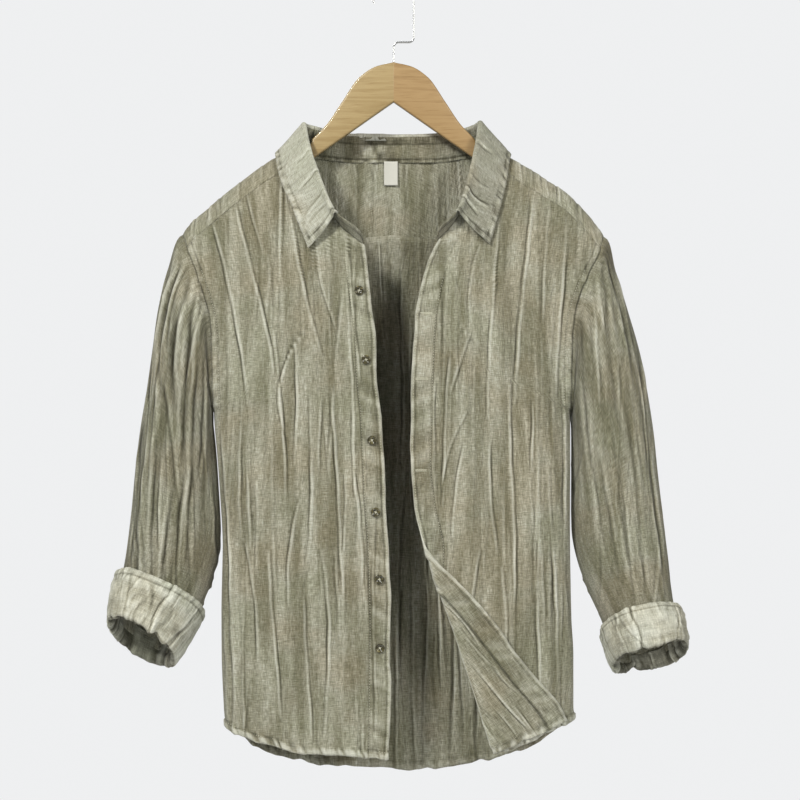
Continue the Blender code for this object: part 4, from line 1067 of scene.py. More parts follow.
# %% The sleeves
SLEEVE_CREASES = {
    "left": table(CREASE_COLUMNS, [
        (258, 330, 281, 400, 293, 560, 1.7, 1.9, 1), (254, 345, 268, 400, 287, 560, 2.2, 2.4, -1),
        (250, 352, 276, 420, 277, 520, 2.6, 3.4, 1), (275, 500, 268, 560, 262, 640, 2.4, 3.0, -1),
        (242, 372, 258, 430, 262, 540, 3.2, 3.6, -1), (236, 395, 248, 470, 252, 600, 3.0, 3.4, 1),
        (229, 425, 236, 500, 243, 640, 2.8, 3.0, 1), (284, 560, 288, 640, 290, 760, 2.2, 2.4, 1),
        (296, 560, 304, 640, 308, 770, 2.0, 2.0, -1), (266, 620, 274, 690, 280, 780, 2.6, 2.8, 1),
        (252, 610, 258, 680, 262, 760, 2.4, 2.8, -1), (240, 600, 246, 660, 250, 720, 2.2, 2.4, 1),
        (302, 500, 308, 600, 316, 720, 1.7, 1.6, 1), (262, 338, 286, 440, 299, 620, 1.6, 1.7, -1),
        (246, 362, 262, 400, 270, 470, 1.8, 2.4, 1), (232, 410, 242, 450, 250, 520, 2.0, 2.2, -1),
        (226, 470, 230, 540, 236, 620, 2.2, 2.2, -1), (278, 590, 282, 640, 284, 700, 1.6, 1.8, -1)]),
    "right": table(CREASE_COLUMNS, [
        (262, 334, 280, 392, 300, 500, 1.8, 2.4, 1), (256, 340, 270, 400, 290, 520, 2.6, 3.4, -1),
        (248, 352, 256, 430, 272, 560, 3.0, 3.6, 1), (240, 372, 244, 440, 254, 600, 2.6, 3.2, -1),
        (232, 400, 240, 480, 250, 560, 2.4, 2.8, 1), (226, 430, 230, 520, 240, 640, 2.4, 2.8, -1),
        (268, 350, 284, 420, 306, 560, 1.7, 2.2, -1), (296, 470, 308, 580, 322, 720, 2.0, 2.2, 1),
        (278, 520, 290, 620, 304, 760, 2.6, 3.0, 1), (262, 560, 274, 650, 288, 760, 2.4, 2.8, -1),
        (246, 580, 258, 660, 270, 740, 2.4, 2.8, 1), (238, 600, 246, 650, 256, 710, 2.0, 2.2, -1),
        (288, 440, 296, 520, 308, 640, 1.7, 1.8, 1), (302, 560, 312, 640, 326, 760, 1.8, 2.0, -1),
        (252, 344, 262, 380, 272, 440, 1.6, 2.6, 1), (244, 362, 250, 400, 256, 450, 1.6, 2.4, -1),
        (236, 388, 238, 430, 242, 480, 1.6, 2.2, 1), (270, 600, 280, 680, 292, 780, 1.8, 2.0, 1)])}
# the last number is painted shade laid over the whole sleeve, more on the left one
for side, seed, strength, contrast, painted_sleeve_shade in (("left", 61, 0.9, 0.8, 0.24), ("right", 71, 0.6, 0.5, 0.14)):
    sign = -1 if side == "left" else 1
    turns = np.linspace(0, 360, SLEEVE_TURNS)
    grid, along, levels = smooth_rings(sleeve_rings(side, turns), SLEEVE_RINGS)
    grid[..., 0] *= sign
    u = np.broadcast_to(turns / 360 * ROUND_ARM, grid.shape[:2])
    v = np.broadcast_to(along[:, None], grid.shape[:2])
    relief = np.zeros(grid.shape[:2])
    for turn, first, last, width, depth in zip(*SLEEVE_FOLDS.values()):
        t = np.clip((levels - first) / (last - first), 0, 1)
        away = (turns - turn + 180) % 360 - 180
        relief += depth * (np.sin(np.pi * t) ** 0.6)[:, None] * np.exp(-(away / width) ** 2)
    across, down = np.abs(grid[..., 0]), grid[..., 2]
    behind = 700.0 * (turns > 180)
    ahead = smooth_step(turns, 2, 14) * falling(turns, 168, 180)
    rear = smooth_step(turns, 180, 192) * falling(turns, 346, 358)
    fine = scatter_creases((215, 350), (330, 800), 7.5, seed, length=(90, 320), lean=0.09)
    hidden = scatter_creases((215, 350), (330, 800), 10.0, seed + 1, (1.2, 2.8), (120, 300), 0.1)
    pressed, painted_shading = press(SLEEVE_CREASES[side], across, down)
    scattered, cut = press(fine, across, down)
    unseen, unseen_cut = press(hidden, across, down)
    relief = relief + (pressed + scattered) * ahead + (unseen + scattered) * rear
    painted_shading = (painted_shading + 0.8 * cut) * ahead + (unseen_cut + 0.8 * cut) * rear
    gathers = soft_noise(across + behind, down, 8.5, 150, seed + 2)
    head = smooth_step(v, 2, 12) * np.exp(-v / 70) * (ahead + rear)
    relief = relief + 4.0 * gathers * head
    relief = relief + 2.4 * soft_noise(across + behind, down, 18, 170, seed + 3) * (ahead + rear)
    painted_shading = painted_shading * contrast
    relief = relief * strength * smooth_step(v, 1, 10) * (0.4 + 0.6 * smooth_step(along[-1] - v, 20, 90))
    # painted shading: shade over the sleeve and in the dips of the head's gathers, highlight on their
    # ridges
    painted_shading = np.clip(painted_shading + painted_sleeve_shade + np.clip(-1.2 * gathers - 0.1, -0.4, 0.9) * head, -1, 1)
    piece, _, _ = panel("sleeve_cloth_" + side, grid, u, v, relief, painted_shading, -sign, gauze, CLOTH_WALL,
                        ["sleeve_" + side], closed=True)

# %% The rolled cuffs
CUFF_PATH = table("step height inset", [
    (0, 22, 7.0), (1, 8, 8.2), (2, 1.6, 6.2), (3, 0.1, 3.4), (4, 1.0, 1.0), (5, 5, 0), (6, 27, -1.5),
    (7, 46, -0.6), (8, 49.2, 0.4), (9, 50, 2.0), (10, 49, 3.5), (11, 38, 4.4)])
CUFF_DENTS = {
    "left": table("turn reach width", [(44, -1.5, 12), (74, 1.5, 14), (104, -1.5, 9), (120, 3.5, 7)]),
    "right": table("turn reach width", [(52, 1.5, 14), (84, -2.0, 14), (118, -1.5, 12), (250, 7.0, 8)])}
for side, seed in (("left", 81), ("right", 91)):
    sign = -1 if side == "left" else 1
    turns = np.linspace(0, 360, CUFF_TURNS)
    tall = CUFF[side]["height"][1] / CUFF_TALL
    steps = np.linspace(0, 11, 400)
    path = np.column_stack([read(CUFF_PATH, "height", steps), read(CUFF_PATH, "inset", steps)])
    path = evenly(path, np.linspace(0, 1, CUFF_RINGS))
    mouth_wave = soft_noise(turns / 360 * 14, turns * 0, 1, 9, seed, around=14)
    dents = sum(reach * np.exp(-(((turns - turn + 180) % 360 - 180) / width) ** 2)
                for turn, reach, width in zip(*CUFF_DENTS[side].values()))
    rings, v = [], []
    for height, inset in path:
        ring = cuff_ring(side, turns, height * tall, inset)
        near_mouth = math.exp(-height / 14)
        near_top = math.exp(-(CUFF_TALL - height) / 12)
        ring[:, 2] -= (1.3 * mouth_wave + dents) * near_mouth + 1.3 * np.roll(mouth_wave, 40) * near_top
        rings.append(ring)
    grid = np.array(rings)
    grid[:, -1] = grid[:, 0]
    grid[..., 0] *= sign
    v = np.concatenate([[0], np.cumsum(np.linalg.norm(np.diff(path, axis=0), axis=1))])
    u = np.broadcast_to(turns / 360 * ROUND_CUFF, grid.shape[:2])
    v = np.broadcast_to(v[:, None], grid.shape[:2])
    from_top = np.broadcast_to((CUFF_TALL - path[:, 0])[:, None], grid.shape[:2])
    inside = np.broadcast_to((path[:, 1] > 2.6)[:, None], grid.shape[:2])
    relief = 0
    for amount, lumps, long, more in ((0.9, 12, 8, 1), (0.5, 60, 26, 2), (0.5, 30, 4, 5),
                                      (np.where(inside, 2.3, 0.5), 34, 60, 3)):
        relief = relief + amount * soft_noise(u, v, ROUND_CUFF / lumps, long, seed + more, around=lumps)
    folds = scatter_creases((0, ROUND_CUFF), (-20, 110), 13.0, seed + 6, (0.5, 1.1), (20, 80), 0.2)
    pressed, cut = press(folds, u, v, wander=1.5)
    relief = relief + pressed
    relief = relief * smooth_step(from_top, 2, 10)
    puckers = np.where(inside, 0, 1) * pucker(u, from_top, seed + 4, band=6, size=7, height=0.9)
    relief += puckers - mark(from_top, CUFF_STITCH, 0.7)
    seam = u - ROUND_CUFF * CUFF_SEAM / 360 - 2 * np.sin(v / 9)
    relief = relief + (mark(seam, 3, 1.6, 3.0) - mark(seam, 0, 1.4, 1.4)) * (1 - inside)
    # painted shading: shade inside the mouth, in crease and relief dips, along the stitch row and at the
    # seam; highlight on raised relief
    painted_shading = 0.7 * cut - 0.3 * relief - 0.05 + 0.85 * inside + mark(from_top, CUFF_STITCH, 0.5)
    painted_shading = np.clip(painted_shading + mark(seam, 0, 0.7, 1.3) * (1 - inside), -1, 1)
    piece, _, _ = panel("rolled_cuff_" + side, grid, u, v, relief, painted_shading, sign, gauze_wrong, CUFF_WALL,
                        ["cuff_" + side], closed=True)
print("pieces so far:", ", ".join(pieces))

# %% [markdown]
# ## The collar
# A shirt collar is a stand sewn to the neck and a leaf sewn to the top of the stand, which rolls
# over and falls on the shirt. Both are doubled and stitched close to the edge. Each place along the
# collar has three points: on the neck seam, on the roll and on the leaf's edge.

# %% Lines of the collar
ROLL = table("along left right forward left_down right_down", [
    (0, 0, 0, -30, 198, 198), (56, 54, 54, -28, 197, 197), (88, 80, 80, -21, 193, 193),
    (120, 101, 98, -9, 189, 188), (140, 105, 101, 0, 188, 187), (170, 102, 99, 15, 207, 205),
    (198, 95, 94, 28, 231, 230), (246, 81.5, 84, 45, 268, 272), (286, 67.8, 75.2, 53, 298, 296),
    (318, 34, 52, 51, 319, 314)])
LEAF_EDGE = table("along left left_q right right_q", [
    (0, 0, 108, 0, 108), (56, 64, 76, 64, 76), (88, 100, 48, 100, 48), (120, 130, 20, 129, 20),
    (140, 141, 0, 139, 0), (170, 138, -30, 137, -26), (198, 133, -52, 134, -50),
    (246, 121, -88, 126.5, -88), (286, 101.7, -149, 114.8, -137)])
ROLL_RADIUS = 2.6
LEAF_CLEAR = 4.2
LEAF_STITCH = 6.8
LEAF_COLUMNS, STAND_COLUMNS, STAND_TALL = 371, 331, 34
LEAF_END = 286.0


def unit(vectors):
    """Vectors in the last axis, at unit length."""
    return vectors / np.maximum(np.linalg.norm(vectors, axis=-1, keepdims=True), 1e-9)


def collar_line(along):
    """Neck seam, roll line and leaf edge at each place along the collar."""
    side = np.where(along < 0, -1, 1)
    length = np.abs(along)
    seam = over_ridge(*neck_point(along))
    roll = np.stack([by_side(ROLL, along, length) * side, -read(ROLL, "forward", length),
                     by_side(ROLL, along, length, ("left_down", "right_down"))], -1)
    leaf_x = by_side(LEAF_EDGE, along, length) * side
    leaf_q = by_side(LEAF_EDGE, along, length, ("left_q", "right_q"))
    edge = over_ridge(leaf_x, leaf_q)
    outward = unit(np.cross(over_ridge(leaf_x + 0.5, leaf_q) - edge,
                            over_ridge(leaf_x, leaf_q + 0.5) - edge))
    from_inside = np.column_stack([0 * leaf_x, edge[:, 1], 0 * leaf_x - 5])
    outward *= np.sign(np.sum(outward * from_inside, axis=1))[:, None]
    return seam, roll, edge + outward * LEAF_CLEAR


def collar_frame(along):
    """The collar's lines with its directions: up the stand, and away from the neck."""
    seam, roll, edge = collar_line(along)
    up = unit(roll - seam)
    away = edge - roll
    away = unit(away - up * np.sum(away * up, axis=1)[:, None])
    return seam, roll, edge, up, away


print("the collar runs %.0f mm along its leaf" % (2 * LEAF_END))

# %% The leaf
along = np.linspace(-LEAF_END, LEAF_END, LEAF_COLUMNS)
_, roll, edge, up, away = collar_frame(along)
rows = [roll - up * 8.0 + away * 0.6]
for angle in np.linspace(0, math.pi, 9)[:-1]:
    rows.append(roll + up * ROLL_RADIUS * (math.sin(angle) - 1)
                + away * ROLL_RADIUS * (1 - math.cos(angle)))
start = roll - up * ROLL_RADIUS + away * 2 * ROLL_RADIUS
handle = start - up * 9 + away * 3
for t in np.linspace(0, 1, 27):
    rows.append(start * (1 - t) ** 2 + handle * 2 * t * (1 - t) + edge * t * t)
grid = np.array(rows)
steps = np.linalg.norm(np.diff(grid, axis=0), axis=-1)
v = np.concatenate([np.zeros((1, len(along))), np.cumsum(steps, axis=0)])
u = np.broadcast_to(along, v.shape)
to_edge = v[-1] - v
to_end = (LEAF_END - np.abs(u)) * 1.05
inner = smooth_step(to_edge, 0, 9) * smooth_step(to_end, 0, 9)
LEAF_CREASES = table(CREASE_COLUMNS, [
    (236, 6, 244, 22, 246, 44, 2.2, 1.6, 1), (256, 4, 262, 20, 268, 36, 2.0, 1.5, -1),
    (222, 8, 226, 22, 224, 40, 1.8, 1.0, 1), (-250, 6, -254, 24, -262, 46, 1.8, 0.9, -1),
    (-222, 6, -224, 20, -230, 40, 1.8, 0.9, 1), (-268, 10, -266, 30, -272, 56, 1.6, 0.8, 1),
    (-190, 8, -192, 20, -190, 34, 1.8, 0.9, 1), (180, 6, 182, 20, 178, 36, 1.8, 0.9, -1)])
main, painted_shading = press(LEAF_CREASES, u, v, wander=1.0)
height = (main + 0.7 * soft_noise(u + AWAY, v, 16, 26, 101) + 0.35 * soft_noise(u + AWAY, v, 6, 12, 102))
height = height * (0.3 + 0.7 * inner) * smooth_step(v, 2, 12)
puckers = (pucker(u, to_edge, 103, band=6.5, size=7.5, height=1.3)
           + pucker(v, to_end, 104, band=6.5, size=10, height=1.2))
edge_row, end_row = mark(to_edge, LEAF_STITCH, 0.8), mark(to_end, LEAF_STITCH, 0.8)
height += puckers - edge_row - end_row
# painted shading: shade on the leaf's right half and along the stitch rows; highlight along the roll, on
# pucker ridges and a little over the whole leaf
painted_shading += 0.45 * smooth_step(u, 20, 120) - 0.15 - 0.5 * puckers - 0.5 * falling(v, 4, 12)
painted_shading = np.clip(painted_shading + edge_row * (to_end > 6) + end_row * (to_edge > 6), -1, 1)
grid = grid + up * wavy(u, to_edge, 105, size=24, reach=20, amount=0.8)[..., None]
leaf_piece, leaf_raised, leaf_normals = panel("collar_leaf_cloth", grid, u, v, height, painted_shading, -1,
                                              gauze_interlined_painted_lighter, COLLAR_WALL, ["collar_leaf"])

# %% The stand
along = np.linspace(-NECK_END, NECK_END, STAND_COLUMNS)
seam, roll, _, up, away = collar_frame(along)
tall = np.linalg.norm(roll - seam, axis=1) - 3.4
tip = np.clip((np.abs(along) - NECK_END + 14) / 14, 0, 1)
tall = tall * (1 - 0.55 * (1 - np.sqrt(1 - tip ** 2)))
share = np.linspace(0, 1, 15)[:, None, None]
foot = seam - up * 1.6 - away * 1.0
grid = between(foot, seam + up * tall[:, None] - away * 0.7, share)
v = np.broadcast_to(share[..., 0] * STAND_TALL, grid.shape[:2])
u = np.broadcast_to(along, v.shape)
to_top = STAND_TALL - v
crumple = soft_noise(u + AWAY, v, 6, 9, 112) * np.exp(-((u + 24) / 26) ** 2)
puckers = pucker(u, v, 113, band=5, size=7, height=0.7) + pucker(u, to_top, 114, band=9, size=9, height=0.6)
height = 0.7 * soft_noise(u + AWAY, v, 15, 14, 111) + 1.6 * crumple + puckers
sewn_rows = mark(v, 5.0, 0.6) + mark(to_top, 6.0, 0.6) + mark(to_top, 10.0, 0.6)
height = (height - sewn_rows) * smooth_step(NECK_END - np.abs(u), 0, 5)
# painted shading: a little shade over the whole stand and along the sewn rows, highlight on raised crumples
# and puckers
painted_shading = np.clip(0.25 - 0.9 * crumple - 0.4 * puckers + sewn_rows + mark(v, 5.0, 0.1), -1, 1)
stand_piece, _, _ = panel("collar_stand_cloth", grid, u, v, height, painted_shading, -1, gauze, COLLAR_WALL,
                          ["collar_stand"])

# %% [markdown]
# ## Stitches
# Thread is what holds the real shirt together, and rows of it show along every edge. Each stitch
# is a small rounded bead that lies along the seam, made with `create_icosphere`. The rows are
# carried by the surface they are sewn in, so they rise and sink with its puckers.

# %% Thread and rows of stitches
thread, _, _ = new_material("tonal_cotton_thread", {"Base Color": linear("#B9B6A2"), "Roughness": 0.7})


def stitches(name, runs, pitch, size, across=False):
    """Rows of stitches: each run is a line of points on the cloth and the normals there."""
    bm = bmesh.new()
    count = 0
    for points, normals in runs:
        length = np.concatenate([[0], np.cumsum(np.linalg.norm(np.diff(points, axis=0), axis=1))])
        for at in np.arange(pitch / 2, length[-1], pitch):
            place, ahead, normal = (
                Vector([float(np.interp(at + shift, length, values[:, k])) * flip
                        for k, flip in ((0, 1), (1, 1), (2, -1))])
                for values, shift in ((points, 0.0), (points, 0.8), (normals, 0.0)))
            ahead = (ahead - place).normalized()
            normal = normal.normalized()
            beside = normal.cross(ahead).normalized()
            ahead = beside.cross(normal)
            if across:
                ahead, beside = beside, -ahead
            turn = Matrix((ahead * size[0], beside * size[1], normal * size[2])).transposed().to_4x4()
            spot = Matrix.Translation((place + normal * (0.55 + size[2] * 0.4)) * MM)
            bmesh.ops.create_icosphere(bm, subdivisions=1, radius=MM, matrix=spot @ turn)
            count += 1
    mesh = into(name, bm)
    mesh.materials.append(thread)
    mesh.shade_smooth()
    obj = put(name, mesh)
    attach(obj, "root")
    print("%s: %d stitches" % (name, count))


def grid_line(grid, normals, keep):
    """The places of a raised grid, one to each column, that lie at given rows."""
    columns = np.arange(grid.shape[1])
    low = np.floor(keep).astype(int)
    part = (keep - low)[:, None]
    high = np.minimum(low + 1, grid.shape[0] - 1)
    return [between(values[low, columns], values[high, columns], part) for values in (grid, normals)]


def front_line(side, ends, inset, edge):
    """A line on a front at an inset from its opening, hem or armhole."""
    sign, opening, hem = FRONT[side]
    at = np.linspace(ends[0], ends[1], 260)
    if edge == "opening":
        x, down = sign * (read(opening, "across", at) + inset), at
    elif edge == "hem":
        x, down = sign * at, read(hem, "down", at) - inset
    else:
        x, down = sign * (side_edge(sign, at) - inset), at
    spots = np.column_stack([x, down])
    points, normals, _ = front_surface(side, spots, x, 0.0)
    return points, normals


STITCH = (1.15, 0.34, 0.26)
PITCH = 3.3
for side, node, ends, hem_ends in (("left", "button_side", (350, 940), (8, 198)),
                                   ("right", "buttonhole_side", (350, 950), (24, 212))):
    runs = [front_line(side, ends, FACING_STITCH, "opening"), front_line(side, ends, 2.6, "opening"),
            front_line(side, hem_ends, HEM_STITCH, "hem"),
            front_line(side, (366, 530), ARM_STITCH, "armhole")]
    stitches("stitches_front_" + node, runs, PITCH, STITCH)
edge_rows = len(leaf_raised) - 1 - 2.6
line = grid_line(leaf_raised, leaf_normals, np.full(leaf_raised.shape[1], edge_rows))
stitches("stitches_collar", [line], PITCH, STITCH)
line = grid_line(back_raised, back_normals, np.full(back_raised.shape[1], len(back_raised) - 1 - 1.4))
stitches("stitches_back", [line], PITCH, STITCH)
holes = []
for down in (418.0, 496.0, 605.0):
    inner = float(read(RIGHT_EDGE, "across", down))
    spots = np.column_stack([np.linspace(inner + 5, inner + 19, 20), np.full(20, down)])
    points, normals, _ = front_surface("right", spots, spots[:, 0], 0.0)
    holes += [(points, normals), (points + (0, 0, 1.5), normals)]
stitches("buttonholes", holes, 0.7, (0.75, 0.36, 0.3), across=True)

# %% [markdown]
# ## Label, buttons, hanger and hook
# The label is a short woven tab, left blank. The buttons are turned discs with a raised rim and
# four holes, sewn on with crossed thread. The hanger is sawn from flat board in two halves, and its
# edges are rounded with a cutter. The hook is bent wire, so it is a curve with a round section.

# %% The label
LABEL_WIDTH, LABEL_DROP, LABEL_SIDE, LABEL_TOP = 16.6, 26.0, -3.4, 234.5
label_cloth, tree, shader = new_material("woven_cotton_label",
                                         {"Base Color": linear("#B9B7AE"), "Roughness": 0.8})
place = add(tree, "ShaderNodeUVMap", {"uv_map": "cloth"}).outputs["UV"]
ribs = add(tree, "ShaderNodeTexWave", {"Scale": 260.0, "Distortion": 0.5}, {"Vector": place})
bump = add(tree, "ShaderNodeBump", {"Strength": 0.3, "Distance": 0.0002}, {"Height": ribs.outputs["Fac"]})
tree.links.new(bump.outputs[0], shader.inputs["Normal"])
across, downward = np.meshgrid(np.linspace(-0.5, 0.5, 13), np.linspace(0, 1, 21))
x = LABEL_SIDE + LABEL_WIDTH * across
down = LABEL_TOP - 3 + (LABEL_DROP + 3) * downward
y = wall_y(x, down, True) - 2.6 - 0.9 * downward ** 2 * (1 + across) + 0.4 * np.cos(across * 5)
grid = np.stack([x, y, down], -1)
label_piece, _, _ = panel("neck_label_cloth", grid, x, down, x * 0, x * 0, 1, label_cloth, 0.5,
                          ["neck_label"])

# %% Buttons
BUTTON_DOWN = (391.5, 474.0, 570.0, 655.5, 735.5, 817.5)
BUTTON_INSET = 12.5
resin, tree, shader = new_material("polished_dark_olive_resin", {"Roughness": 0.16, "Coat Weight": 0.4})
place = add(tree, "ShaderNodeTexCoord").outputs["Object"]
marble = add(tree, "ShaderNodeTexNoise", {"Scale": 220.0, "Detail": 3.0, "Distortion": 1.5},
             {"Vector": place}).outputs["Fac"]
colour = ramp(tree, marble, [(0.35, linear("#221E10")), (0.55, linear("#3F3A20")),
                             (0.7, linear("#6E6640"))])
tree.links.new(colour, shader.inputs["Base Color"])


def turned_button():
    """A button's mesh, facing +Z: a disc with a raised rim, a dished middle and four holes."""
    profile = [(0, 1.5), (2.6, 1.5), (3.3, 1.7), (3.9, 2.3), (4.5, 2.6), (5.1, 2.5), (5.5, 2.0),
               (5.6, 1.4), (5.4, 0.7), (4.8, 0.2), (3.6, 0), (0, 0)]
    bm = bmesh.new()
    verts = [bm.verts.new((radius * MM, 0, height * MM)) for radius, height in profile]
    for first, second in zip(verts, verts[1:]):
        bm.edges.new((first, second))
    bmesh.ops.spin(bm, geom=bm.verts[:] + bm.edges[:], cent=(0, 0, 0), axis=(0, 0, 1),
                   angle=math.tau, steps=40, use_merge=True)
    bmesh.ops.remove_doubles(bm, verts=bm.verts, dist=WELD / 2)
    bmesh.ops.recalc_face_normals(bm, faces=bm.faces)
    blank = put("turned", into("turned", bm))
    bm = bmesh.new()
    for x, y in ((1.1, 1.1), (-1.1, 1.1), (1.1, -1.1), (-1.1, -1.1)):
        bmesh.ops.create_cone(bm, cap_ends=True, segments=14, radius1=0.6 * MM, radius2=0.6 * MM,
                              depth=8 * MM, matrix=Matrix.Translation((x * MM, y * MM, 0)))
    drill = put("drill", into("drill", bm))
    cut = blank.modifiers.new("holes", "BOOLEAN")
    cut.object = drill
    cut.solver = "EXACT"
    bpy.context.view_layer.update()
    made = bpy.data.meshes.new_from_object(blank.evaluated_get(bpy.context.evaluated_depsgraph_get()))
    for obj in (blank, drill):
        bpy.data.objects.remove(obj)
    made.materials.clear()
    made.materials.append(resin)
    return made


button_mesh = turned_button()
button_mesh.shade_smooth()
front_places = places_of(fronts["left"].data) / MM
for number, down in enumerate(BUTTON_DOWN, 1):
    x = -float(read(LEFT_EDGE, "across", down)) - BUTTON_INSET
    near = front_places[np.hypot(front_places[:, 0] - x, front_places[:, 2] + down) < 5.0]
    slope = (float(wall_y(x + 4, down, False)) - float(wall_y(x - 4, down, False))) / 8
    spot = Vector((x, float(near[:, 1].mean()) - 1.1, -down)) * MM
    turn = Matrix.Rotation(math.atan(slope), 4, "Z") @ Matrix.Rotation(math.radians(90), 4, "X")
    turn = Matrix.Translation(spot) @ turn @ Matrix.Rotation(0.5 * number, 4, "Z")
    mesh = button_mesh.copy()
    mesh.transform(turn)
    obj = put("turned_button_%d" % number, mesh)
    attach(obj, "root")
    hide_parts("button_%d" % number)
    bm = bmesh.new()
    for angle in (45, 135):
        arm = Matrix.Translation((0, 0, 1.6 * MM)) @ Matrix.Rotation(math.radians(angle), 4, "Z")
        arm = arm @ Matrix.Rotation(math.radians(90), 4, "Y")
        bmesh.ops.create_cone(bm, cap_ends=True, segments=8, radius1=0.42 * MM, radius2=0.42 * MM,
                              depth=3.6 * MM, matrix=turn @ arm)
    mesh = into("cross", bm)
    mesh.materials.append(thread)
    obj = put("button_thread_%d" % number, mesh)
    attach(obj, "root")
print("buttons at", BUTTON_DOWN, "mm down")

# %% The wooden hanger
HANGER_CREST, HANGER_APEX, HANGER_SLOPE = 114.0, 162.4, 0.70
HANGER_THICK, HANGER_UNDER, HANGER_DIP, HANGER_ROUND, HANGER_GAP = 12.0, 5.0, 2.0, 2.4, 0.6
CREST_END = 98


def wood(name, early, late, slope):
    """Pale lacquered wood: long grain across the board, with fine darker pores."""
    material, tree, shader = new_material(name, {"Roughness": 0.38, "Coat Weight": 0.15})
    place = add(tree, "ShaderNodeTexCoord").outputs["Object"]
    turned = add(tree, "ShaderNodeMapping", {"Rotation": (0, slope, 0), "Scale": (3.0, 60.0, 60.0)},
                 {"Vector": place}).outputs[0]
    rings = add(tree, "ShaderNodeTexNoise", {"Scale": 2.6, "Detail": 5.0, "Distortion": 0.6},
                {"Vector": turned}).outputs["Fac"]
    pores = add(tree, "ShaderNodeTexNoise", {"Scale": 14.0, "Detail": 2.0},
                {"Vector": turned}).outputs["Fac"]
    grain = ramp(tree, rings, [(0.38, late), (0.55, early), (0.7, late)])
    dots = ramp(tree, pores, [(0.3, linear("#D9CDB8")), (0.45, WHITE)])
    tree.links.new(multiplied(tree, grain, dots, 0.6), shader.inputs["Base Color"])
    return material


def mesh_of_curve(points, settings, closed):
    """The mesh of a curve through points given in mm."""
    data = bpy.data.curves.new("route", "CURVE")
    for name, value in settings.items():
        setattr(data, name, value)
    spline = data.splines.new("POLY")
    spline.points.add(len(points) - 1)
    for point, place in zip(spline.points, points):
        point.co = (*Vector(place) * MM, 1)
    spline.use_cyclic_u = closed
    curve = bpy.data.objects.new("route", data)
    mesh = bpy.data.meshes.new_from_object(curve)
    bpy.data.objects.remove(curve)
    return mesh


def hanger_top(x):
    """Upper edge of the hanger: a rounded crest, then just under the shoulder."""
    crest = table("across down", [(0, HANGER_CREST), (20, 118.5), (40, 131.5), (60, 160),
                                  (79, 188), (98, 207.5)])
    shoulder = ridge(x) + HANGER_UNDER + HANGER_DIP * np.exp(-((np.abs(x) - 106) / 14) ** 2)
    return np.where(np.abs(x) < CREST_END, read(crest, "down", np.abs(x)), shoulder)


def hanger_half(sign, name, node, material):
    """One arm of the hanger: its outline, extruded to the board's thickness and rounded."""
    inset = 1.2 * HANGER_ROUND
    top_x = np.concatenate([np.linspace(HANGER_GAP, CREST_END, 40), np.linspace(101, 207, 40)])
    top = hanger_top(sign * top_x) + inset
    low = HANGER_APEX + HANGER_SLOPE * top_x - inset
    outline = list(zip(top_x, top))
    for turn in np.linspace(0.1, 0.9, 9):
        angle = math.pi * turn
        outline.append((top_x[-1] + 5 * math.sin(angle),
                        (top[-1] + low[-1]) / 2 - (low[-1] - top[-1]) / 2 * math.cos(angle)))
    outline += [*list(zip(top_x, low))[::-4], (HANGER_GAP, low[0])]
    mesh = mesh_of_curve([(sign * x, -down, 0) for x, down in outline],
                         {"dimensions": "2D", "fill_mode": "BOTH",
                          "extrude": (HANGER_THICK / 2 - HANGER_ROUND) * MM,
                          "bevel_depth": HANGER_ROUND * MM, "bevel_resolution": 4}, True)
    mesh.transform(Matrix.Rotation(math.radians(90), 4, "X"))
    bm = opened(mesh)
    bmesh.ops.remove_doubles(bm, verts=bm.verts, dist=WELD / 2)
    bmesh.ops.recalc_face_normals(bm, faces=bm.faces)
    into(mesh, bm)
    mesh.materials.clear()
    mesh.materials.append(material)
    mesh.shade_smooth()
    obj = put(name, mesh)
    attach(obj, "root")
    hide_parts(node)
    print("%s: %d faces" % (name, len(mesh.polygons)))


pale = wood("lacquered_pale_wood", linear("#9B865D"), linear("#8F7950"), 0.55)
tan = wood("lacquered_tan_wood", linear("#987C53"), linear("#8C7048"), -0.55)
hanger_half(-1, "wood_arm_left", "hanger_arm_left", pale)
hanger_half(1, "wood_arm_right", "hanger_arm_right", tan)

# %% The hook
WIRE_RADIUS, HOOK_RADIUS, HOOK_CRANK, BEND = 1.2, 24.2, 89.8, 6.0
chrome, _, _ = new_material("chromed_steel_wire", {"Base Color": linear("#C9C9C7"), "Metallic": 1.0,
                                                   "Roughness": 0.16})
quarter = np.linspace(0, math.pi / 2, 9)
centre = HOOK_RADIUS - WIRE_RADIUS
route = [(0, HANGER_CREST + 6), (0, HOOK_CRANK + BEND)]
route += [(BEND * (1 - math.cos(a)), HOOK_CRANK + BEND * (1 - math.sin(a))) for a in quarter[1:]]
route += [(HOOK_RADIUS - BEND + BEND * math.sin(a), HOOK_CRANK - BEND * (1 - math.cos(a)))
          for a in quarter]
route += [(HOOK_RADIUS, down) for down in (70, 55, 40)]
route += [(HOOK_RADIUS * math.cos(a), centre - HOOK_RADIUS * math.sin(a))
          for a in np.linspace(0, math.pi, 49)]
route += [(-HOOK_RADIUS, centre + 10), (-HOOK_RADIUS, centre + 20)]
mesh = mesh_of_curve([(x, 0, -down) for x, down in route],
                     {"dimensions": "3D", "bevel_depth": WIRE_RADIUS * MM, "bevel_resolution": 5,
                      "use_fill_caps": True}, False)
mesh.materials.append(chrome)
mesh.shade_smooth()
hook = put("wire_hook", mesh)
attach(hook, "root")
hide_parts("hanger_hook")
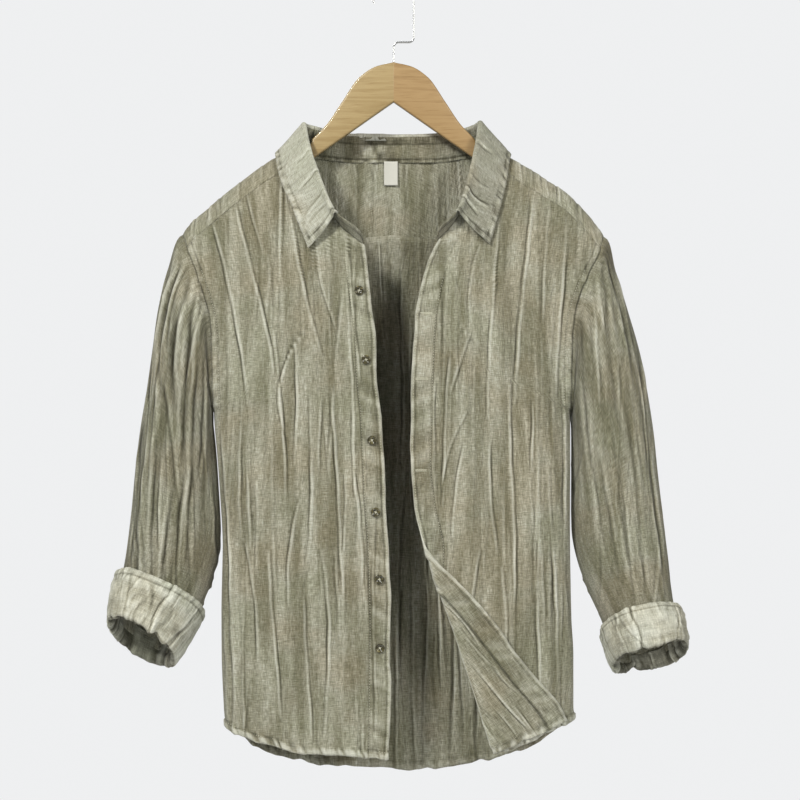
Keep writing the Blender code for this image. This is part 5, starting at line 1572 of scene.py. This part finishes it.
print("hook:", len(mesh.polygons), "faces")

# %% [markdown]
# ## Studio
# The light is what makes crinkle show. A small lamp high on the left rakes across the creases, a
# softer one on the right fills, one behind lights the back, and a pale room does the rest. The
# floor is far below, because the shirt hangs.

# %% Floor, light and camera
floor_paint, _, _ = new_material("matt_pale_floor_paint",
                                 {"Base Color": linear("#E6E7E7"), "Roughness": 0.8})
bm = bmesh.new()
bmesh.ops.create_grid(bm, x_segments=1, y_segments=1, size=2.4, matrix=Matrix.Translation((0, 0, -2.2)))
mesh = into("floor", bm)
mesh.materials.append(floor_paint)
floor = put("floor", mesh)

world = bpy.data.worlds.new("pale_room")
bpy.context.scene.world = world
world.use_nodes = True
tree = world.node_tree
background = tree.nodes["Background"]
seen = add(tree, "ShaderNodeLightPath").outputs["Is Camera Ray"]
strength = add(tree, "ShaderNodeMapRange", {"To Min": 0.38, "To Max": 0.9}, {"Value": seen}).outputs[0]
tree.links.new(strength, background.inputs["Strength"])
background.inputs["Color"].default_value = linear("#FAFBFC")


def lamp(name, place, target, size, power, colour):
    """A square lamp that faces its target."""
    data = bpy.data.lights.new(name, "AREA")
    data.size = size
    data.energy = power
    data.color = linear(colour)[:3]
    obj = put(name, data)
    obj.location = place
    obj.rotation_euler = (Vector(target) - Vector(place)).to_track_quat("-Z", "Y").to_euler()


lamp("key", (-1.8, -2.8, 1.7), (0, 0, -0.5), 0.6, 152, "#FFFFFA")
lamp("fill", (2.0, -2.6, 0.6), (0.1, 0, -0.5), 1.2, 62, "#FEFEFA")
lamp("behind", (-0.8, 3.0, 0.8), (0, 0, -0.5), 1.6, 60, "#FCFDFF")

camera_data = bpy.data.cameras.new("camera")
camera_data.lens = 113.4
camera_data.sensor_width = 36
camera = put("camera", camera_data)
camera.location = (0.0077, -3.045, -0.522)
camera.rotation_euler = (math.radians(90), 0, 0)
bpy.context.scene.camera = camera
bpy.context.scene.view_settings.view_transform = "Standard"
print("lens %.1f mm at %.2f m" % (camera_data.lens, -camera.location.y))
